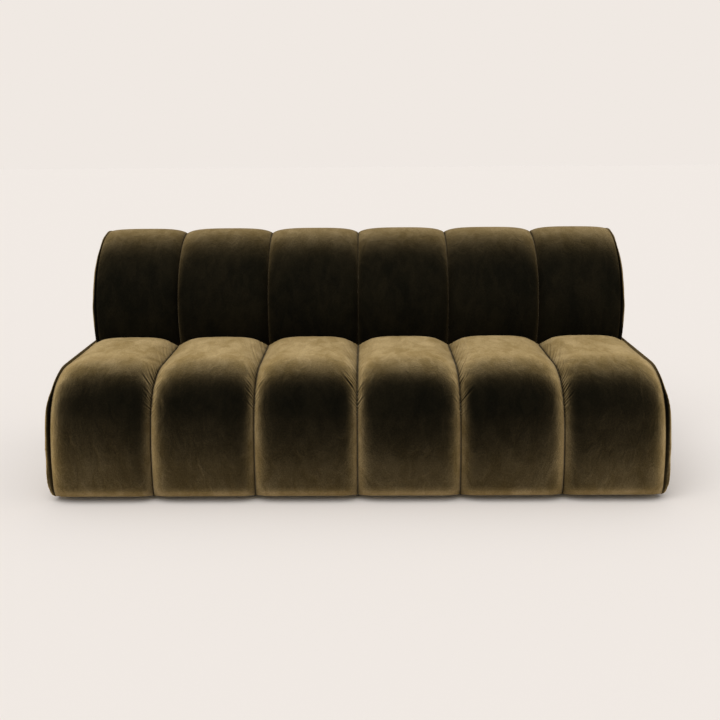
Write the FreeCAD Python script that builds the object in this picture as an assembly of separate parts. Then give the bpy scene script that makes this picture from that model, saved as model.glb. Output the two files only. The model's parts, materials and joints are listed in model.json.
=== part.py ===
import FreeCAD, Part
import math
import os

# Armless sofa with a channelled seat and a channelled back, in millimetres.
# X runs to the right, the seat faces -Y and Z is up. The origin is on the floor, under the middle
# of the whole sofa. A "depth" is measured backwards from the foremost point of the seat's seams,
# and a "height" is measured up from the floor.

# Channels: the long sewn rolls of velvet over padding
channel_pitch = 345.0
channels_per_row = 6
seat_end_channel_width = 338.0
back_end_channel_width = 312.0
channel_rise = 33.0
channel_lip_radius = 20.0
back_end_wall = 16.0
back_end_lip_radius = 10.0
pad_under_seam = 12.0
seam_gap = 0.6

# Side profile of the seat, along the bottom of its seams
hem_height = 14.0
hem_tuck = 8.0
hem_tuck_length = 32.0
seat_seam_height = 415.0
front_bulge_radius = 600.0
front_lean_angle = 16.0
nose_radius = 176.0
nose_end_angle = 65.0
deck_bend_radius = 300.0

# Side profile of the back, along the bottom of its seams
overall_height = 835.0
back_face_depth = 600.0
back_curve_share = 0.718
back_lowest_angle = -12.0
rear_roll_inner_radius = 12.0
rear_roll_end_angle = 150.0

# How many flat steps each bend of a channel is sewn in
lower_front_steps = 1
upper_front_steps = 2
nose_steps = 3
deck_bend_steps = 2
back_curve_steps = 6
rear_roll_steps = 2

# Padded end panels
seat_end_pad_crown = 17.0
seat_end_pad_lip = 8.0
back_end_pad_crown = 13.0
back_end_pad_lip = 24.0
pad_edge_radius = 8.0
end_corner_radius = 15.0
ledge_gap = 1.0

# Timber, board and foam
ply = 18.0
end_board = 15.0
board_inset = 3.0
frame_bottom = 20.0
seat_foam_thickness = 102.0
front_foam_least = 3.0
batten_height = 40.0
batten_depth = 30.0
end_batten_width = 22.0
rear_deck_board = 15.0
back_foam_thickness = 42.5
seat_rear_rail_setback = 10.0
seat_rear_rail_height = 205.0
cross_rail_height = 100.0
deck_post_side = 40.0
corner_block_leg = 70.0
corner_block_height = 90.0
centre_block_width = 90.0
centre_block_depth = 60.0
centre_block_height = 60.0
back_rail_depth = 40.0
back_rail_height = 40.0
back_bottom_rail_setback = 27.0
lumbar_rail_rise = 24.0
lumbar_rail_side = 32.0
lumbar_rail_setback = 10.0
top_rail_drop = 5.0
notch_clearance = 0.5

# Webbing
web_thickness = 2.5
seat_web_width = 64.0
cross_webs = 3
web_overlap = 3.0
back_web_angle = 15.0
back_webs = 5
back_web_clearance = 8.0
back_web_last_angle = 78.0

# Rear covers, liner and dust cover
liner_thickness = 3.0
back_cover_thickness = 14.0
base_cover_thickness = 14.0
cover_edge_radius = 10.0
dust_cover_thickness = 1.0
dust_cover_margin = 6.0

# Glides under the base
glide_foot_radius = 20.0
glide_top_radius = 24.0

# Bolts that hold the back on the base
bolt_radius = 4.0
bolt_hole_radius = 4.5
bolt_head_radius = 7.0
bolt_head_height = 5.5
nut_height = 6.5
bolt_tail = 10.0
bolt_spread = 517.0
bolt_edge_distance = 12.0

# Places worked out from the sizes above
back_seam_crest = overall_height - channel_rise
back_curve_radius = back_curve_share * (back_seam_crest - seat_seam_height)
back_centre_depth = back_face_depth + back_curve_radius
back_centre_height = back_seam_crest - back_curve_radius
rear_roll_radius = pad_under_seam + rear_roll_inner_radius
rear_seam_depth = back_centre_depth + rear_roll_radius
frame_rear_depth = rear_seam_depth - pad_under_seam
seat_rear_rail_depth = back_face_depth - seat_rear_rail_setback
inner_seams = channels_per_row / 2 - 1
seat_half_width = inner_seams * channel_pitch + seat_end_channel_width
back_half_width = inner_seams * channel_pitch + back_end_channel_width
base_inner_half = seat_half_width - end_board
back_inner_half = back_half_width - end_board
seat_board_top = seat_seam_height - pad_under_seam - board_inset
back_rib_radius = back_curve_radius - pad_under_seam - back_foam_thickness - web_thickness
back_web_radius = back_rib_radius + web_thickness
slab_bottom = seat_seam_height - pad_under_seam - seat_foam_thickness
rail_top = slab_bottom - 2.0 * web_thickness


def point(x, depth, height):
    """A point from its place across, back and up."""
    return FreeCAD.Vector(x, front_seam_y + depth, height)


def block(x_low, x_high, depth_low, depth_high, low, high):
    """A straight piece of timber or board between its faces."""
    return Part.makeBox(x_high - x_low, depth_high - depth_low, high - low, point(x_low, depth_low, low))


class Bend:
    """One arc of a side profile. At angle 0 the seam climbs, and at 90 degrees it runs backwards."""

    def __init__(self, centre_depth, centre_height, radius, start, end, steps):
        self.centre_depth = centre_depth
        self.centre_height = centre_height
        self.radius = radius
        self.start = start
        self.end = end
        self.steps = steps

    def place(self, angle, outward=0.0):
        """Depth and height at an angle, moved outwards from the seam."""
        reach = self.radius + outward
        turn = math.radians(angle)
        return (self.centre_depth - reach * math.cos(turn), self.centre_height + reach * math.sin(turn))

    def angles(self):
        """The angles of the steps, the first left out because the bend before ends there."""
        sweep = self.end - self.start
        return [self.start + sweep * (step + 1) / self.steps for step in range(self.steps)]

    def arc(self, x, outward):
        """The bend as an arc, moved outwards from the seam."""
        middle = (self.start + self.end) / 2.0
        ends = [point(x, *self.place(angle, outward)) for angle in (self.start, middle, self.end)]
        return Part.Arc(*ends).toShape()


def following_bend(bend, radius, end, steps):
    """The bend that carries on from another with no kink."""
    turn = math.radians(bend.end)
    depth, height = bend.place(bend.end)
    centre_depth = depth + radius * math.cos(turn)
    centre_height = height - radius * math.sin(turn)
    return Bend(centre_depth, centre_height, radius, bend.end, end, steps)


def climb(radius, start, end):
    """How far a bend rises."""
    return radius * (math.sin(math.radians(end)) - math.sin(math.radians(start)))


# The seat's bends, from the bulge of its front face up over the nose to the level deck
bulge_height = (seat_seam_height - climb(front_bulge_radius, 0.0, front_lean_angle)
                - climb(nose_radius, front_lean_angle, nose_end_angle)
                - climb(deck_bend_radius, nose_end_angle, 90.0))
tuck_top = hem_height + hem_tuck_length
tuck_angle = -math.degrees(math.asin((bulge_height - tuck_top) / front_bulge_radius))
lower_front = Bend(front_bulge_radius, bulge_height, front_bulge_radius, tuck_angle, 0.0, lower_front_steps)
upper_front = following_bend(lower_front, front_bulge_radius, front_lean_angle, upper_front_steps)
nose = following_bend(upper_front, nose_radius, nose_end_angle, nose_steps)
deck_bend = following_bend(nose, deck_bend_radius, 90.0, deck_bend_steps)
seat_bends = [lower_front, upper_front, nose, deck_bend]

# The back's bends, from behind the seat up the face, over the crest and down the rear
back_curve = Bend(back_centre_depth, back_centre_height, back_curve_radius, back_lowest_angle, 90.0,
                  back_curve_steps)
rear_roll = following_bend(back_curve, rear_roll_radius, rear_roll_end_angle, rear_roll_steps)
back_bends = [back_curve, rear_roll]
rear_crown_depth = rear_roll.place(rear_roll_end_angle, channel_rise)[0]
front_seam_y = (channel_rise - rear_crown_depth) / 2.0


def bend_stations(bends):
    """Depth, height and angle at every step of a chain of bends."""
    first = bends[0]
    stations = [(*first.place(first.start), first.start)]
    for bend in bends:
        stations += [(*bend.place(angle), angle) for angle in bend.angles()]
    return stations


def depth_on_circle(bend, height, outward):
    """Depth of the front of a bend's circle at a height, moved outwards from the seam."""
    reach = bend.radius + outward
    return bend.centre_depth - math.sqrt(reach ** 2 - (height - bend.centre_height) ** 2)


seat_crown_height = seat_seam_height + channel_rise
back_foot_height = seat_board_top + ledge_gap
seat_channel_end = depth_on_circle(back_curve, seat_crown_height, channel_rise) - 2.0 * ledge_gap
hem_station = (lower_front.place(lower_front.start)[0] + hem_tuck, hem_height, 0.0)
deck_station = (seat_channel_end, seat_seam_height, 90.0)
seat_stations = [hem_station] + bend_stations(seat_bends) + [deck_station]
rear_seam_turn = following_bend(back_curve, rear_roll_radius, 180.0, 1)
back_foot_station = (depth_on_circle(back_curve, back_foot_height, 0.0), back_foot_height, 0.0)
back_stations = [back_foot_station] + bend_stations(back_bends)


def station_place(station, outward):
    """Depth and height of a station, moved outwards from the seam."""
    depth, height, angle = station
    turn = math.radians(angle)
    return (depth - outward * math.cos(turn), height + outward * math.sin(turn))


def section_side(half, wall, lip):
    """One side of a channel, across and outwards: top of its wall, its lip, the meeting and its crown."""
    lip_centre = half - lip
    rest = channel_rise - wall
    crown_radius = (lip_centre ** 2 + rest ** 2 - lip ** 2) / (2.0 * (rest - lip))
    crown_centre = channel_rise - crown_radius
    turn = math.atan2(wall - crown_centre, lip_centre)
    crown_turn = (turn + math.radians(90.0)) / 2.0
    lip_middle = (lip_centre + lip * math.cos(turn / 2.0), wall + lip * math.sin(turn / 2.0))
    meeting = (crown_radius * math.cos(turn), crown_centre + crown_radius * math.sin(turn))
    crown_middle = (crown_radius * math.cos(crown_turn), crown_centre + crown_radius * math.sin(crown_turn))
    return [(half, wall), lip_middle, meeting, crown_middle]


def channel_section(middle, width, sides, station):
    """Closed outline across a channel: a flat base, a wall and lip at each seam and a crown between."""
    def place(across, outward):
        return point(middle + across, *station_place(station, outward))

    half = width / 2.0
    apex = place(0.0, channel_rise)
    bases = [place(-half, -pad_under_seam), place(half, -pad_under_seam)]
    edges = [Part.LineSegment(*bases)]
    left, right = [[place(way * across, outward) for across, outward in section_side(half, wall, lip)]
                   for way, (wall, lip) in zip((-1.0, 1.0), sides)]
    edges += [Part.LineSegment(bases[1], right[0]), Part.Arc(*right[:3]), Part.Arc(right[2], right[3], apex)]
    edges += [Part.Arc(apex, left[3], left[2]), Part.Arc(*reversed(left[:3])), Part.LineSegment(left[0], bases[0])]
    return Part.Wire([edge.toShape() for edge in edges])


def channel_edges(half_width):
    """Places across of the seams, with the grooves at both ends."""
    seams = [(seam - inner_seams) * channel_pitch for seam in range(channels_per_row - 1)]
    return [-half_width] + seams + [half_width]


def channel(left, right, sides, stations):
    """One roll of velvet over padding, sewn in flat steps along its stations."""
    middle = (left + right) / 2.0
    width = right - left - seam_gap
    return Part.makeLoft([channel_section(middle, width, sides, station) for station in stations], True, True)


def plate(outline, x_low, x_high):
    """A board between two places across, cut to an outline of depths and heights."""
    wire = Part.makePolygon([point(x_low, depth, height) for depth, height in outline + outline[:1]])
    return Part.Face(wire).extrude(FreeCAD.Vector(x_high - x_low, 0.0, 0.0))


def seat_filling():
    """The space under the seat channels, which the foam and the front board share."""
    outline = [station_place(station, -pad_under_seam) for station in seat_stations]
    outline += [(seat_rear_rail_depth, seat_seam_height - pad_under_seam), (seat_rear_rail_depth, hem_height)]
    return plate(outline, -base_inner_half, base_inner_half)


def seat_end_outline(x, inset, lip, rear_depth, bottom):
    """Outline of a seat end panel: the seat's profile in front and on top, straight behind and below."""
    outward = lip - inset
    top = seat_seam_height + outward
    rear = rear_depth - inset
    low = bottom + inset
    bulge = front_bulge_radius + outward
    low_angle = -math.degrees(math.asin((bulge_height - low) / bulge))
    start = Bend(front_bulge_radius, bulge_height, front_bulge_radius, low_angle, 0.0, 1)
    corner = end_corner_radius - inset
    corner_depth = rear - corner
    diagonal = corner * math.sqrt(0.5)
    edges = [start.arc(x, outward)]
    edges += [bend.arc(x, outward) for bend in seat_bends[1:]]
    deck_start = point(x, *deck_bend.place(90.0, outward))
    corner_top = point(x, corner_depth, top)
    corner_middle = point(x, corner_depth + diagonal, top - corner + diagonal)
    corner_low = point(x, rear, top - corner)
    rear_low = point(x, rear, low)
    front_low = point(x, *start.place(low_angle, outward))
    edges.append(Part.LineSegment(deck_start, corner_top).toShape())
    edges.append(Part.Arc(corner_top, corner_middle, corner_low).toShape())
    edges.append(Part.LineSegment(corner_low, rear_low).toShape())
    edges.append(Part.LineSegment(rear_low, front_low).toShape())
    return Part.Wire(edges)


def back_end_outline(x, inset, lip, bottom):
    """Outline of a back end panel: the back's profile from its foot over the crest and down."""
    outward = lip - inset
    low = bottom + inset
    reach = back_curve_radius + outward
    low_angle = -math.degrees(math.asin((back_centre_height - low) / reach))
    face = Bend(back_centre_depth, back_centre_height, back_curve_radius, low_angle, 90.0, 1)
    rear_top = point(x, *rear_seam_turn.place(180.0, outward))
    rear_low = point(x, rear_seam_depth + outward, low)
    front_low = point(x, *face.place(low_angle, outward))
    edges = [face.arc(x, outward), rear_seam_turn.arc(x, outward)]
    edges.append(Part.LineSegment(rear_top, rear_low).toShape())
    edges.append(Part.LineSegment(rear_low, front_low).toShape())
    return Part.Wire(edges)


def crowned_panel(outline_at, crown):
    """A pad with a flat back and a rounded edge. Each step is how far out and how far in."""
    steps = [(0.0, 0.0), (crown - 0.5 * pad_edge_radius, 0.0), (crown, pad_edge_radius)]
    return Part.makeLoft([outline_at(out, inset) for out, inset in steps], True, True)


def flat_rear_panel(half_width, low, high, depth, thickness):
    """A padded panel on the rear of the sofa, with a rounded edge."""
    def outline_at(out, inset):
        corners = [(-half_width + inset, low + inset), (half_width - inset, low + inset),
                   (half_width - inset, high - inset), (-half_width + inset, high - inset)]
        ring = [point(x, depth + out, height) for x, height in corners]
        return Part.makePolygon(ring + ring[:1])
    steps = [(0.0, 0.0), (thickness - 0.5 * cover_edge_radius, 0.0), (thickness, cover_edge_radius)]
    return Part.makeLoft([outline_at(out, inset) for out, inset in steps], True, True)


def seat_end_pad(side):
    """Padded side panel of the base, with the flange that covers the board's edge beside the back."""
    def outline_at(out, inset):
        x = side * (seat_half_width + out)
        return seat_end_outline(x, inset, seat_end_pad_lip, frame_rear_depth + base_cover_thickness, hem_height)
    pad = crowned_panel(outline_at, seat_end_pad_crown)
    inner = side * (back_half_width + ledge_gap)
    outer = side * seat_half_width
    flange = block(min(inner, outer), max(inner, outer), seat_channel_end + ledge_gap,
                   frame_rear_depth, seat_board_top, seat_seam_height)
    return pad.fuse(flange)


def back_end_pad(side):
    """Padded side panel of the back."""
    def outline_at(out, inset):
        x = side * (back_half_width + out)
        return back_end_outline(x, inset, back_end_pad_lip, seat_seam_height + ledge_gap)
    return crowned_panel(outline_at, back_end_pad_crown)


def seat_end_board(side):
    """Profiled board that closes the end of the base and backs the padded end panel."""
    inner = side * base_inner_half
    face = Part.Face(seat_end_outline(inner, 0.0, -pad_under_seam - board_inset, frame_rear_depth, frame_bottom))
    return face.extrude(FreeCAD.Vector(side * end_board, 0.0, 0.0))


def back_end_board(side):
    """Profiled board that closes the end of the back."""
    inner = side * back_inner_half
    face = Part.Face(back_end_outline(inner, 0.0, -pad_under_seam - board_inset, seat_board_top))
    return face.extrude(FreeCAD.Vector(side * end_board, 0.0, 0.0))


back_cover_top = station_place(back_stations[-1], -pad_under_seam)[1]
front_board_depth = depth_on_circle(nose, slab_bottom, -pad_under_seam) + front_foam_least
front_board_rear = front_board_depth + ply
batten_front = seat_rear_rail_depth - batten_depth
batten_low = rail_top - batten_height
rear_rail_front = frame_rear_depth - ply
seat_rear_rail_rear = seat_rear_rail_depth + ply
deck_low = seat_board_top - rear_deck_board
seat_rear_rail_low = deck_low - seat_rear_rail_height
cross_rail_top = frame_bottom + cross_rail_height
rib_foot_depth = back_centre_depth - math.sqrt(back_rib_radius ** 2 - (back_centre_height - seat_board_top) ** 2)
bottom_rail_front = rib_foot_depth + back_bottom_rail_setback
back_rear_rail_front = frame_rear_depth - back_rail_depth
back_rail_top = seat_board_top + back_rail_height
top_rail_top = back_centre_height + back_rib_radius - top_rail_drop
lumbar_low = back_centre_height + lumbar_rail_rise
lumbar_high = lumbar_low + lumbar_rail_side
lumbar_front = (back_centre_depth - math.sqrt(back_rib_radius ** 2 - (lumbar_high - back_centre_height) ** 2)
                + lumbar_rail_setback)


def back_rail_boxes(clearance, half_width):
    """The four rails that run along the back, grown by a clearance where they cut a notch."""
    places = {
        "back_bottom_rail": (bottom_rail_front, bottom_rail_front + back_rail_depth, seat_board_top, back_rail_top),
        "back_rear_rail": (back_rear_rail_front, frame_rear_depth, seat_board_top, back_rail_top),
        "back_lumbar_rail": (lumbar_front, lumbar_front + lumbar_rail_side, lumbar_low, lumbar_high),
        "back_top_rail": (back_rear_rail_front, frame_rear_depth, top_rail_top - back_rail_height, top_rail_top),
    }
    return {name: block(-half_width, half_width, front - clearance, rear + clearance, low - clearance,
                        high + clearance)
            for name, (front, rear, low, high) in places.items()}


def back_rib(middle):
    """Plywood rib of the back, with a round front edge and a notch for each rail."""
    x = middle - ply / 2.0
    crest = point(x, back_centre_depth, back_centre_height + back_rib_radius)
    foot_angle = math.asin((back_centre_height - seat_board_top) / back_rib_radius)
    half_turn = math.radians(45.0) - foot_angle / 2.0
    arc_middle = point(x, back_centre_depth - back_rib_radius * math.cos(half_turn),
                       back_centre_height + back_rib_radius * math.sin(half_turn))
    foot = point(x, rib_foot_depth, seat_board_top)
    rear_top = point(x, frame_rear_depth, back_centre_height + back_rib_radius)
    rear_foot = point(x, frame_rear_depth, seat_board_top)
    edges = [Part.Arc(foot, arc_middle, crest), Part.LineSegment(crest, rear_top),
             Part.LineSegment(rear_top, rear_foot), Part.LineSegment(rear_foot, foot)]
    rib = Part.Face(Part.Wire([edge.toShape() for edge in edges])).extrude(FreeCAD.Vector(ply, 0.0, 0.0))
    return rib.cut(list(back_rail_boxes(notch_clearance, back_inner_half).values()))


def along(radius, x_low, x_high):
    """A round bar along the middle of the back's curve."""
    return Part.makeCylinder(radius, x_high - x_low, point(x_low, back_centre_depth, back_centre_height),
                             FreeCAD.Vector(1.0, 0.0, 0.0))


def back_foam():
    """Foam that wraps the ribs, from the deck up over the crest."""
    outline = [station_place(station, -pad_under_seam) for station in back_stations]
    outline += [(frame_rear_depth, back_cover_top), (frame_rear_depth, seat_board_top + ledge_gap)]
    whole = plate(outline, -back_inner_half, back_inner_half)
    hollow = along(back_web_radius, -back_inner_half, back_inner_half)
    behind = block(-back_inner_half, back_inner_half, back_centre_depth, frame_rear_depth, seat_board_top,
                   back_centre_height + back_web_radius)
    foot_depth = depth_on_circle(back_curve, seat_board_top, back_web_radius - back_curve_radius)
    under = block(-back_inner_half, back_inner_half, foot_depth, frame_rear_depth, seat_board_top,
                  back_centre_height)
    return whole.cut([hollow, behind, under])


def back_webbing():
    """Straps across the front of the ribs, bent to their curve."""
    ring = along(back_web_radius, -back_inner_half, back_inner_half)
    ring = ring.cut(along(back_rib_radius, -back_inner_half, back_inner_half))
    reach = 1.2 * back_web_radius
    straps = []
    lowest_drop = back_centre_height - seat_board_top - back_web_clearance
    first_angle = back_web_angle / 2.0 - math.degrees(math.asin(lowest_drop / back_rib_radius))
    for strap in range(back_webs):
        share = strap / (back_webs - 1)
        middle = first_angle + share * (back_web_last_angle - first_angle)
        corners = [(back_centre_depth, back_centre_height)]
        for edge in (middle - back_web_angle / 2.0, middle + back_web_angle / 2.0):
            turn = math.radians(edge)
            corners.append((back_centre_depth - reach * math.cos(turn), back_centre_height + reach * math.sin(turn)))
        straps += ring.common(plate(corners, -back_inner_half, back_inner_half)).Solids
    return Part.makeCompound(straps)


long_webs = 2 * channels_per_row
long_web_pitch = 2.0 * (base_inner_half - end_batten_width) / long_webs
long_web_places = [(strap - (long_webs - 1) / 2.0) * long_web_pitch for strap in range(long_webs)]


def long_webbing():
    """Straps from the front board back to the batten."""
    straps = [block(x - seat_web_width / 2.0, x + seat_web_width / 2.0, front_board_depth, seat_rear_rail_depth,
                    rail_top, rail_top + web_thickness) for x in long_web_places]
    return Part.makeCompound(straps)


def cross_webbing():
    """Straps from end to end, woven over and under the long ones."""
    clear_span = batten_front - front_board_rear
    straps = []
    for row in range(cross_webs):
        depth = front_board_rear + clear_span * (row + 1) / (cross_webs + 1) - seat_web_width / 2.0
        low_edge = [(-base_inner_half, rail_top), (-base_inner_half + end_batten_width, rail_top)]
        for number, x in enumerate(long_web_places):
            level = rail_top + web_thickness if (number + row) % 2 else rail_top - web_thickness
            reach = seat_web_width / 2.0 + web_overlap
            low_edge += [(x - reach, level), (x + reach, level)]
        low_edge += [(base_inner_half - end_batten_width, rail_top), (base_inner_half, rail_top)]
        ring = [point(x, depth, level) for x, level in low_edge]
        ring += [point(x, depth, level + web_thickness) for x, level in reversed(low_edge)]
        face = Part.Face(Part.makePolygon(ring + ring[:1]))
        straps.append(face.extrude(FreeCAD.Vector(0.0, seat_web_width, 0.0)))
    return Part.makeCompound(straps)


def corner_block(side, depth, inwards):
    """Three-cornered glue block where a rail meets an end board."""
    x = side * base_inner_half
    corners = [point(x, depth, frame_bottom), point(x - side * corner_block_leg, depth, frame_bottom),
               point(x, depth + inwards * corner_block_leg, frame_bottom)]
    face = Part.Face(Part.makePolygon(corners + corners[:1]))
    return face.extrude(FreeCAD.Vector(0.0, 0.0, corner_block_height))


def glide(x, depth):
    """Plastic glide that widens up to the base."""
    top = frame_bottom - dust_cover_thickness
    outline = [(0.0, 0.0), (glide_foot_radius, 0.0), (glide_top_radius, top), (0.0, top)]
    ring = [point(x + radius, depth, height) for radius, height in outline]
    face = Part.Face(Part.makePolygon(ring + ring[:1]))
    return face.revolve(point(x, depth, 0.0), FreeCAD.Vector(0.0, 0.0, 1.0), 360.0)


corner_glide_x = base_inner_half - corner_block_leg / 3.0 - ply / 2.0
front_glide_depth = front_board_rear + corner_block_leg / 3.0
rear_glide_depth = rear_rail_front - corner_block_leg / 3.0
glide_places = [(x, depth) for depth in (front_glide_depth, rear_glide_depth)
                for x in (-corner_glide_x, 0.0, corner_glide_x)]

bolt_places = [(side * bolt_spread, depth) for side in (-1.0, 1.0)
               for depth in (bottom_rail_front + back_rail_depth / 2.0, rear_rail_front - bolt_edge_distance)]


def upright_bar(radius, x, depth, low, high):
    """A round bar standing at a place."""
    return Part.makeCylinder(radius, high - low, point(x, depth, low))


def bolt_holes(low, high):
    """Clearance holes for the bolts between two heights."""
    return [upright_bar(bolt_hole_radius, x, depth, low, high) for x, depth in bolt_places]


def hexagon_bar(radius, x, depth, low, high):
    """A six-sided head or nut standing at a place."""
    ring = [point(x + radius * math.cos(math.radians(60.0 * corner)),
                  depth + radius * math.sin(math.radians(60.0 * corner)), low) for corner in range(7)]
    return Part.Face(Part.makePolygon(ring)).extrude(FreeCAD.Vector(0.0, 0.0, high - low))


nut_low = deck_low - nut_height


def back_bolt(x, depth):
    """Bolt down through a rail of the back and the deck under it."""
    shank = upright_bar(bolt_radius, x, depth, nut_low - bolt_tail, back_rail_top)
    return shank.fuse(hexagon_bar(bolt_head_radius, x, depth, back_rail_top, back_rail_top + bolt_head_height))


def bolt_nut(x, depth):
    """Nut under the deck, a close fit on its bolt."""
    nut = hexagon_bar(bolt_head_radius, x, depth, nut_low, deck_low)
    return nut.cut(upright_bar(bolt_radius, x, depth, nut_low, deck_low))


def make_parts():
    """Every node of the sofa by its name."""
    nodes = {}
    seam_side = (0.0, channel_lip_radius)
    back_end_side = (back_end_wall, back_end_lip_radius)
    seat_edges = channel_edges(seat_half_width)
    back_edges = channel_edges(back_half_width)
    for number in range(channels_per_row):
        nodes["seat_channel_%d" % (number + 1)] = channel(seat_edges[number], seat_edges[number + 1],
                                                          (seam_side, seam_side), seat_stations)
        sides = (back_end_side if number == 0 else seam_side,
                 back_end_side if number == channels_per_row - 1 else seam_side)
        nodes["back_channel_%d" % (number + 1)] = channel(back_edges[number], back_edges[number + 1], sides,
                                                          back_stations)
    for name, side in (("left", -1.0), ("right", 1.0)):
        nodes["seat_end_pad_" + name] = seat_end_pad(side)
        nodes["back_end_pad_" + name] = back_end_pad(side)
        nodes["seat_end_board_" + name] = seat_end_board(side)
        nodes["back_end_board_" + name] = back_end_board(side)
        batten_edges = sorted((side * base_inner_half, side * (base_inner_half - end_batten_width)))
        nodes["seat_end_batten_" + name] = block(*batten_edges, front_board_rear, batten_front, batten_low, rail_top)
        rail_middle = side * channel_pitch
        nodes["base_cross_rail_" + name] = block(rail_middle - ply / 2.0, rail_middle + ply / 2.0,
                                                 front_board_rear, rear_rail_front, frame_bottom, cross_rail_top)
        nodes["back_rib_" + name] = back_rib(rail_middle)
    nodes["back_rib_centre"] = back_rib(0.0)

    nodes["base_front_board"] = block(-base_inner_half, base_inner_half, front_board_depth, front_board_rear,
                                      frame_bottom, rail_top)
    nodes["base_rear_rail"] = block(-base_inner_half, base_inner_half, rear_rail_front, frame_rear_depth,
                                    frame_bottom, deck_low)
    nodes["seat_rear_rail"] = block(-base_inner_half, base_inner_half, seat_rear_rail_depth, seat_rear_rail_rear,
                                    seat_rear_rail_low, deck_low)
    nodes["seat_web_batten"] = block(-base_inner_half, base_inner_half, batten_front, seat_rear_rail_depth,
                                     batten_low, rail_top)
    deck = block(-base_inner_half, base_inner_half, seat_rear_rail_depth, frame_rear_depth, deck_low,
                 seat_board_top)
    nodes["rear_deck"] = deck.cut(bolt_holes(deck_low, seat_board_top))
    post_half = deck_post_side / 2.0
    rail_middle_depth = (seat_rear_rail_depth + seat_rear_rail_rear) / 2.0
    nodes["deck_posts"] = Part.makeCompound(
        [block(x - post_half, x + post_half, rail_middle_depth - post_half, rail_middle_depth + post_half,
               cross_rail_top, seat_rear_rail_low) for x in (-channel_pitch, channel_pitch)])
    nodes["corner_blocks"] = Part.makeCompound(
        [corner_block(side, depth, inwards) for side in (-1.0, 1.0)
         for depth, inwards in ((front_board_rear, 1.0), (rear_rail_front, -1.0))])
    centre_half = centre_block_width / 2.0
    nodes["centre_blocks"] = Part.makeCompound(
        [block(-centre_half, centre_half, depth, depth + centre_block_depth, frame_bottom,
               frame_bottom + centre_block_height)
         for depth in (front_board_rear, rear_rail_front - centre_block_depth)])

    for name, rail in back_rail_boxes(0.0, back_inner_half).items():
        bolted = name in ("back_bottom_rail", "back_rear_rail")
        nodes[name] = rail.cut(bolt_holes(seat_board_top, back_rail_top)) if bolted else rail

    filling = seat_filling()
    nodes["front_foam"] = filling.common(block(-base_inner_half, base_inner_half, -channel_rise, front_board_depth,
                                               hem_height, slab_bottom))
    nodes["seat_foam"] = filling.common(block(-base_inner_half, base_inner_half, -channel_rise,
                                              seat_channel_end, slab_bottom, seat_seam_height))
    nodes["back_foam"] = back_foam()
    nodes["seat_webbing_long"] = long_webbing()
    nodes["seat_webbing_cross"] = cross_webbing()
    nodes["back_webbing"] = back_webbing()

    nodes["back_liner"] = block(-back_half_width, back_half_width, frame_rear_depth,
                                frame_rear_depth + liner_thickness, seat_board_top + ledge_gap, back_cover_top)
    nodes["back_outer_cover"] = flat_rear_panel(back_half_width, seat_board_top + ledge_gap, back_cover_top,
                                                frame_rear_depth + liner_thickness, back_cover_thickness)
    nodes["base_rear_cover"] = flat_rear_panel(seat_half_width, hem_height, seat_board_top, frame_rear_depth,
                                               base_cover_thickness)
    nodes["dust_cover"] = block(-base_inner_half - dust_cover_margin, base_inner_half + dust_cover_margin,
                                front_board_depth, frame_rear_depth - dust_cover_margin,
                                frame_bottom - dust_cover_thickness, frame_bottom)
    nodes["glides"] = Part.makeCompound([glide(x, depth) for x, depth in glide_places])
    nodes["back_bolts"] = Part.makeCompound([back_bolt(x, depth) for x, depth in bolt_places])
    nodes["bolt_nuts"] = Part.makeCompound([bolt_nut(x, depth) for x, depth in bolt_places])
    return nodes


os.makedirs("parts", exist_ok=True)
for node_name, node_shape in make_parts().items():
    node_shape.exportStep("parts/%s.step" % node_name)
    print(node_name, len(node_shape.Solids), "solids", round(node_shape.Volume / 1000.0), "cm3",
          "valid" if node_shape.isValid() else "not valid")
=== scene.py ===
"""Armless sofa in dark olive velvet, with a channelled seat and a channelled back."""
import json
import math

import bpy
import numpy as np
from bpy.props import FloatProperty, FloatVectorProperty, IntProperty, PointerProperty
from mathutils import Matrix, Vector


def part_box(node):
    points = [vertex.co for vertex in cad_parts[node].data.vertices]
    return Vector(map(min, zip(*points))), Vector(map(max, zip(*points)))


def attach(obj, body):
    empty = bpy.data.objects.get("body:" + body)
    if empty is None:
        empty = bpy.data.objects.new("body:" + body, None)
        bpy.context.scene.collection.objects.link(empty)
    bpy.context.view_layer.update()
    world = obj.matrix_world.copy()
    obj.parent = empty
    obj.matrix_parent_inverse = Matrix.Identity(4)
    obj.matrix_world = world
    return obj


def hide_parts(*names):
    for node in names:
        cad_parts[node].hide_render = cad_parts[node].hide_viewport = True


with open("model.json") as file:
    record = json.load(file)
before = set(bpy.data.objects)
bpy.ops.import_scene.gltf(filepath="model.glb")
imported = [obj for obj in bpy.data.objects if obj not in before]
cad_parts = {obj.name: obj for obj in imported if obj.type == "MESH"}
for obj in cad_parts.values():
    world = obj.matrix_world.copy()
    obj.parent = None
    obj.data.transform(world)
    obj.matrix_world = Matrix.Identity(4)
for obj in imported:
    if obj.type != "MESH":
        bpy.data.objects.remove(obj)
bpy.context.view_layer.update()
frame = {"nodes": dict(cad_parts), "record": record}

bl_info = {
    "name": "Channelled sofa",
    "version": (1, 0, 0),
    "blender": (4, 5, 0),
    "location": "3D View > Sidebar > Sofa",
    "description": "Dresses the frame of an armless sofa with channelled velvet, and lights it in a plain studio",
    "category": "Object",
}

SEAT_LOW, SEAT_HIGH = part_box("seat_channel_2")
SEAT_END_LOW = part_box("seat_channel_1")[0]
BACK_END_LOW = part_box("back_channel_1")[0]
OUTER_COVER_LOW, OUTER_COVER_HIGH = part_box("back_outer_cover")
BASE_COVER_LOW, BASE_COVER_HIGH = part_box("base_rear_cover")
CHANNELS = 6

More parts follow.
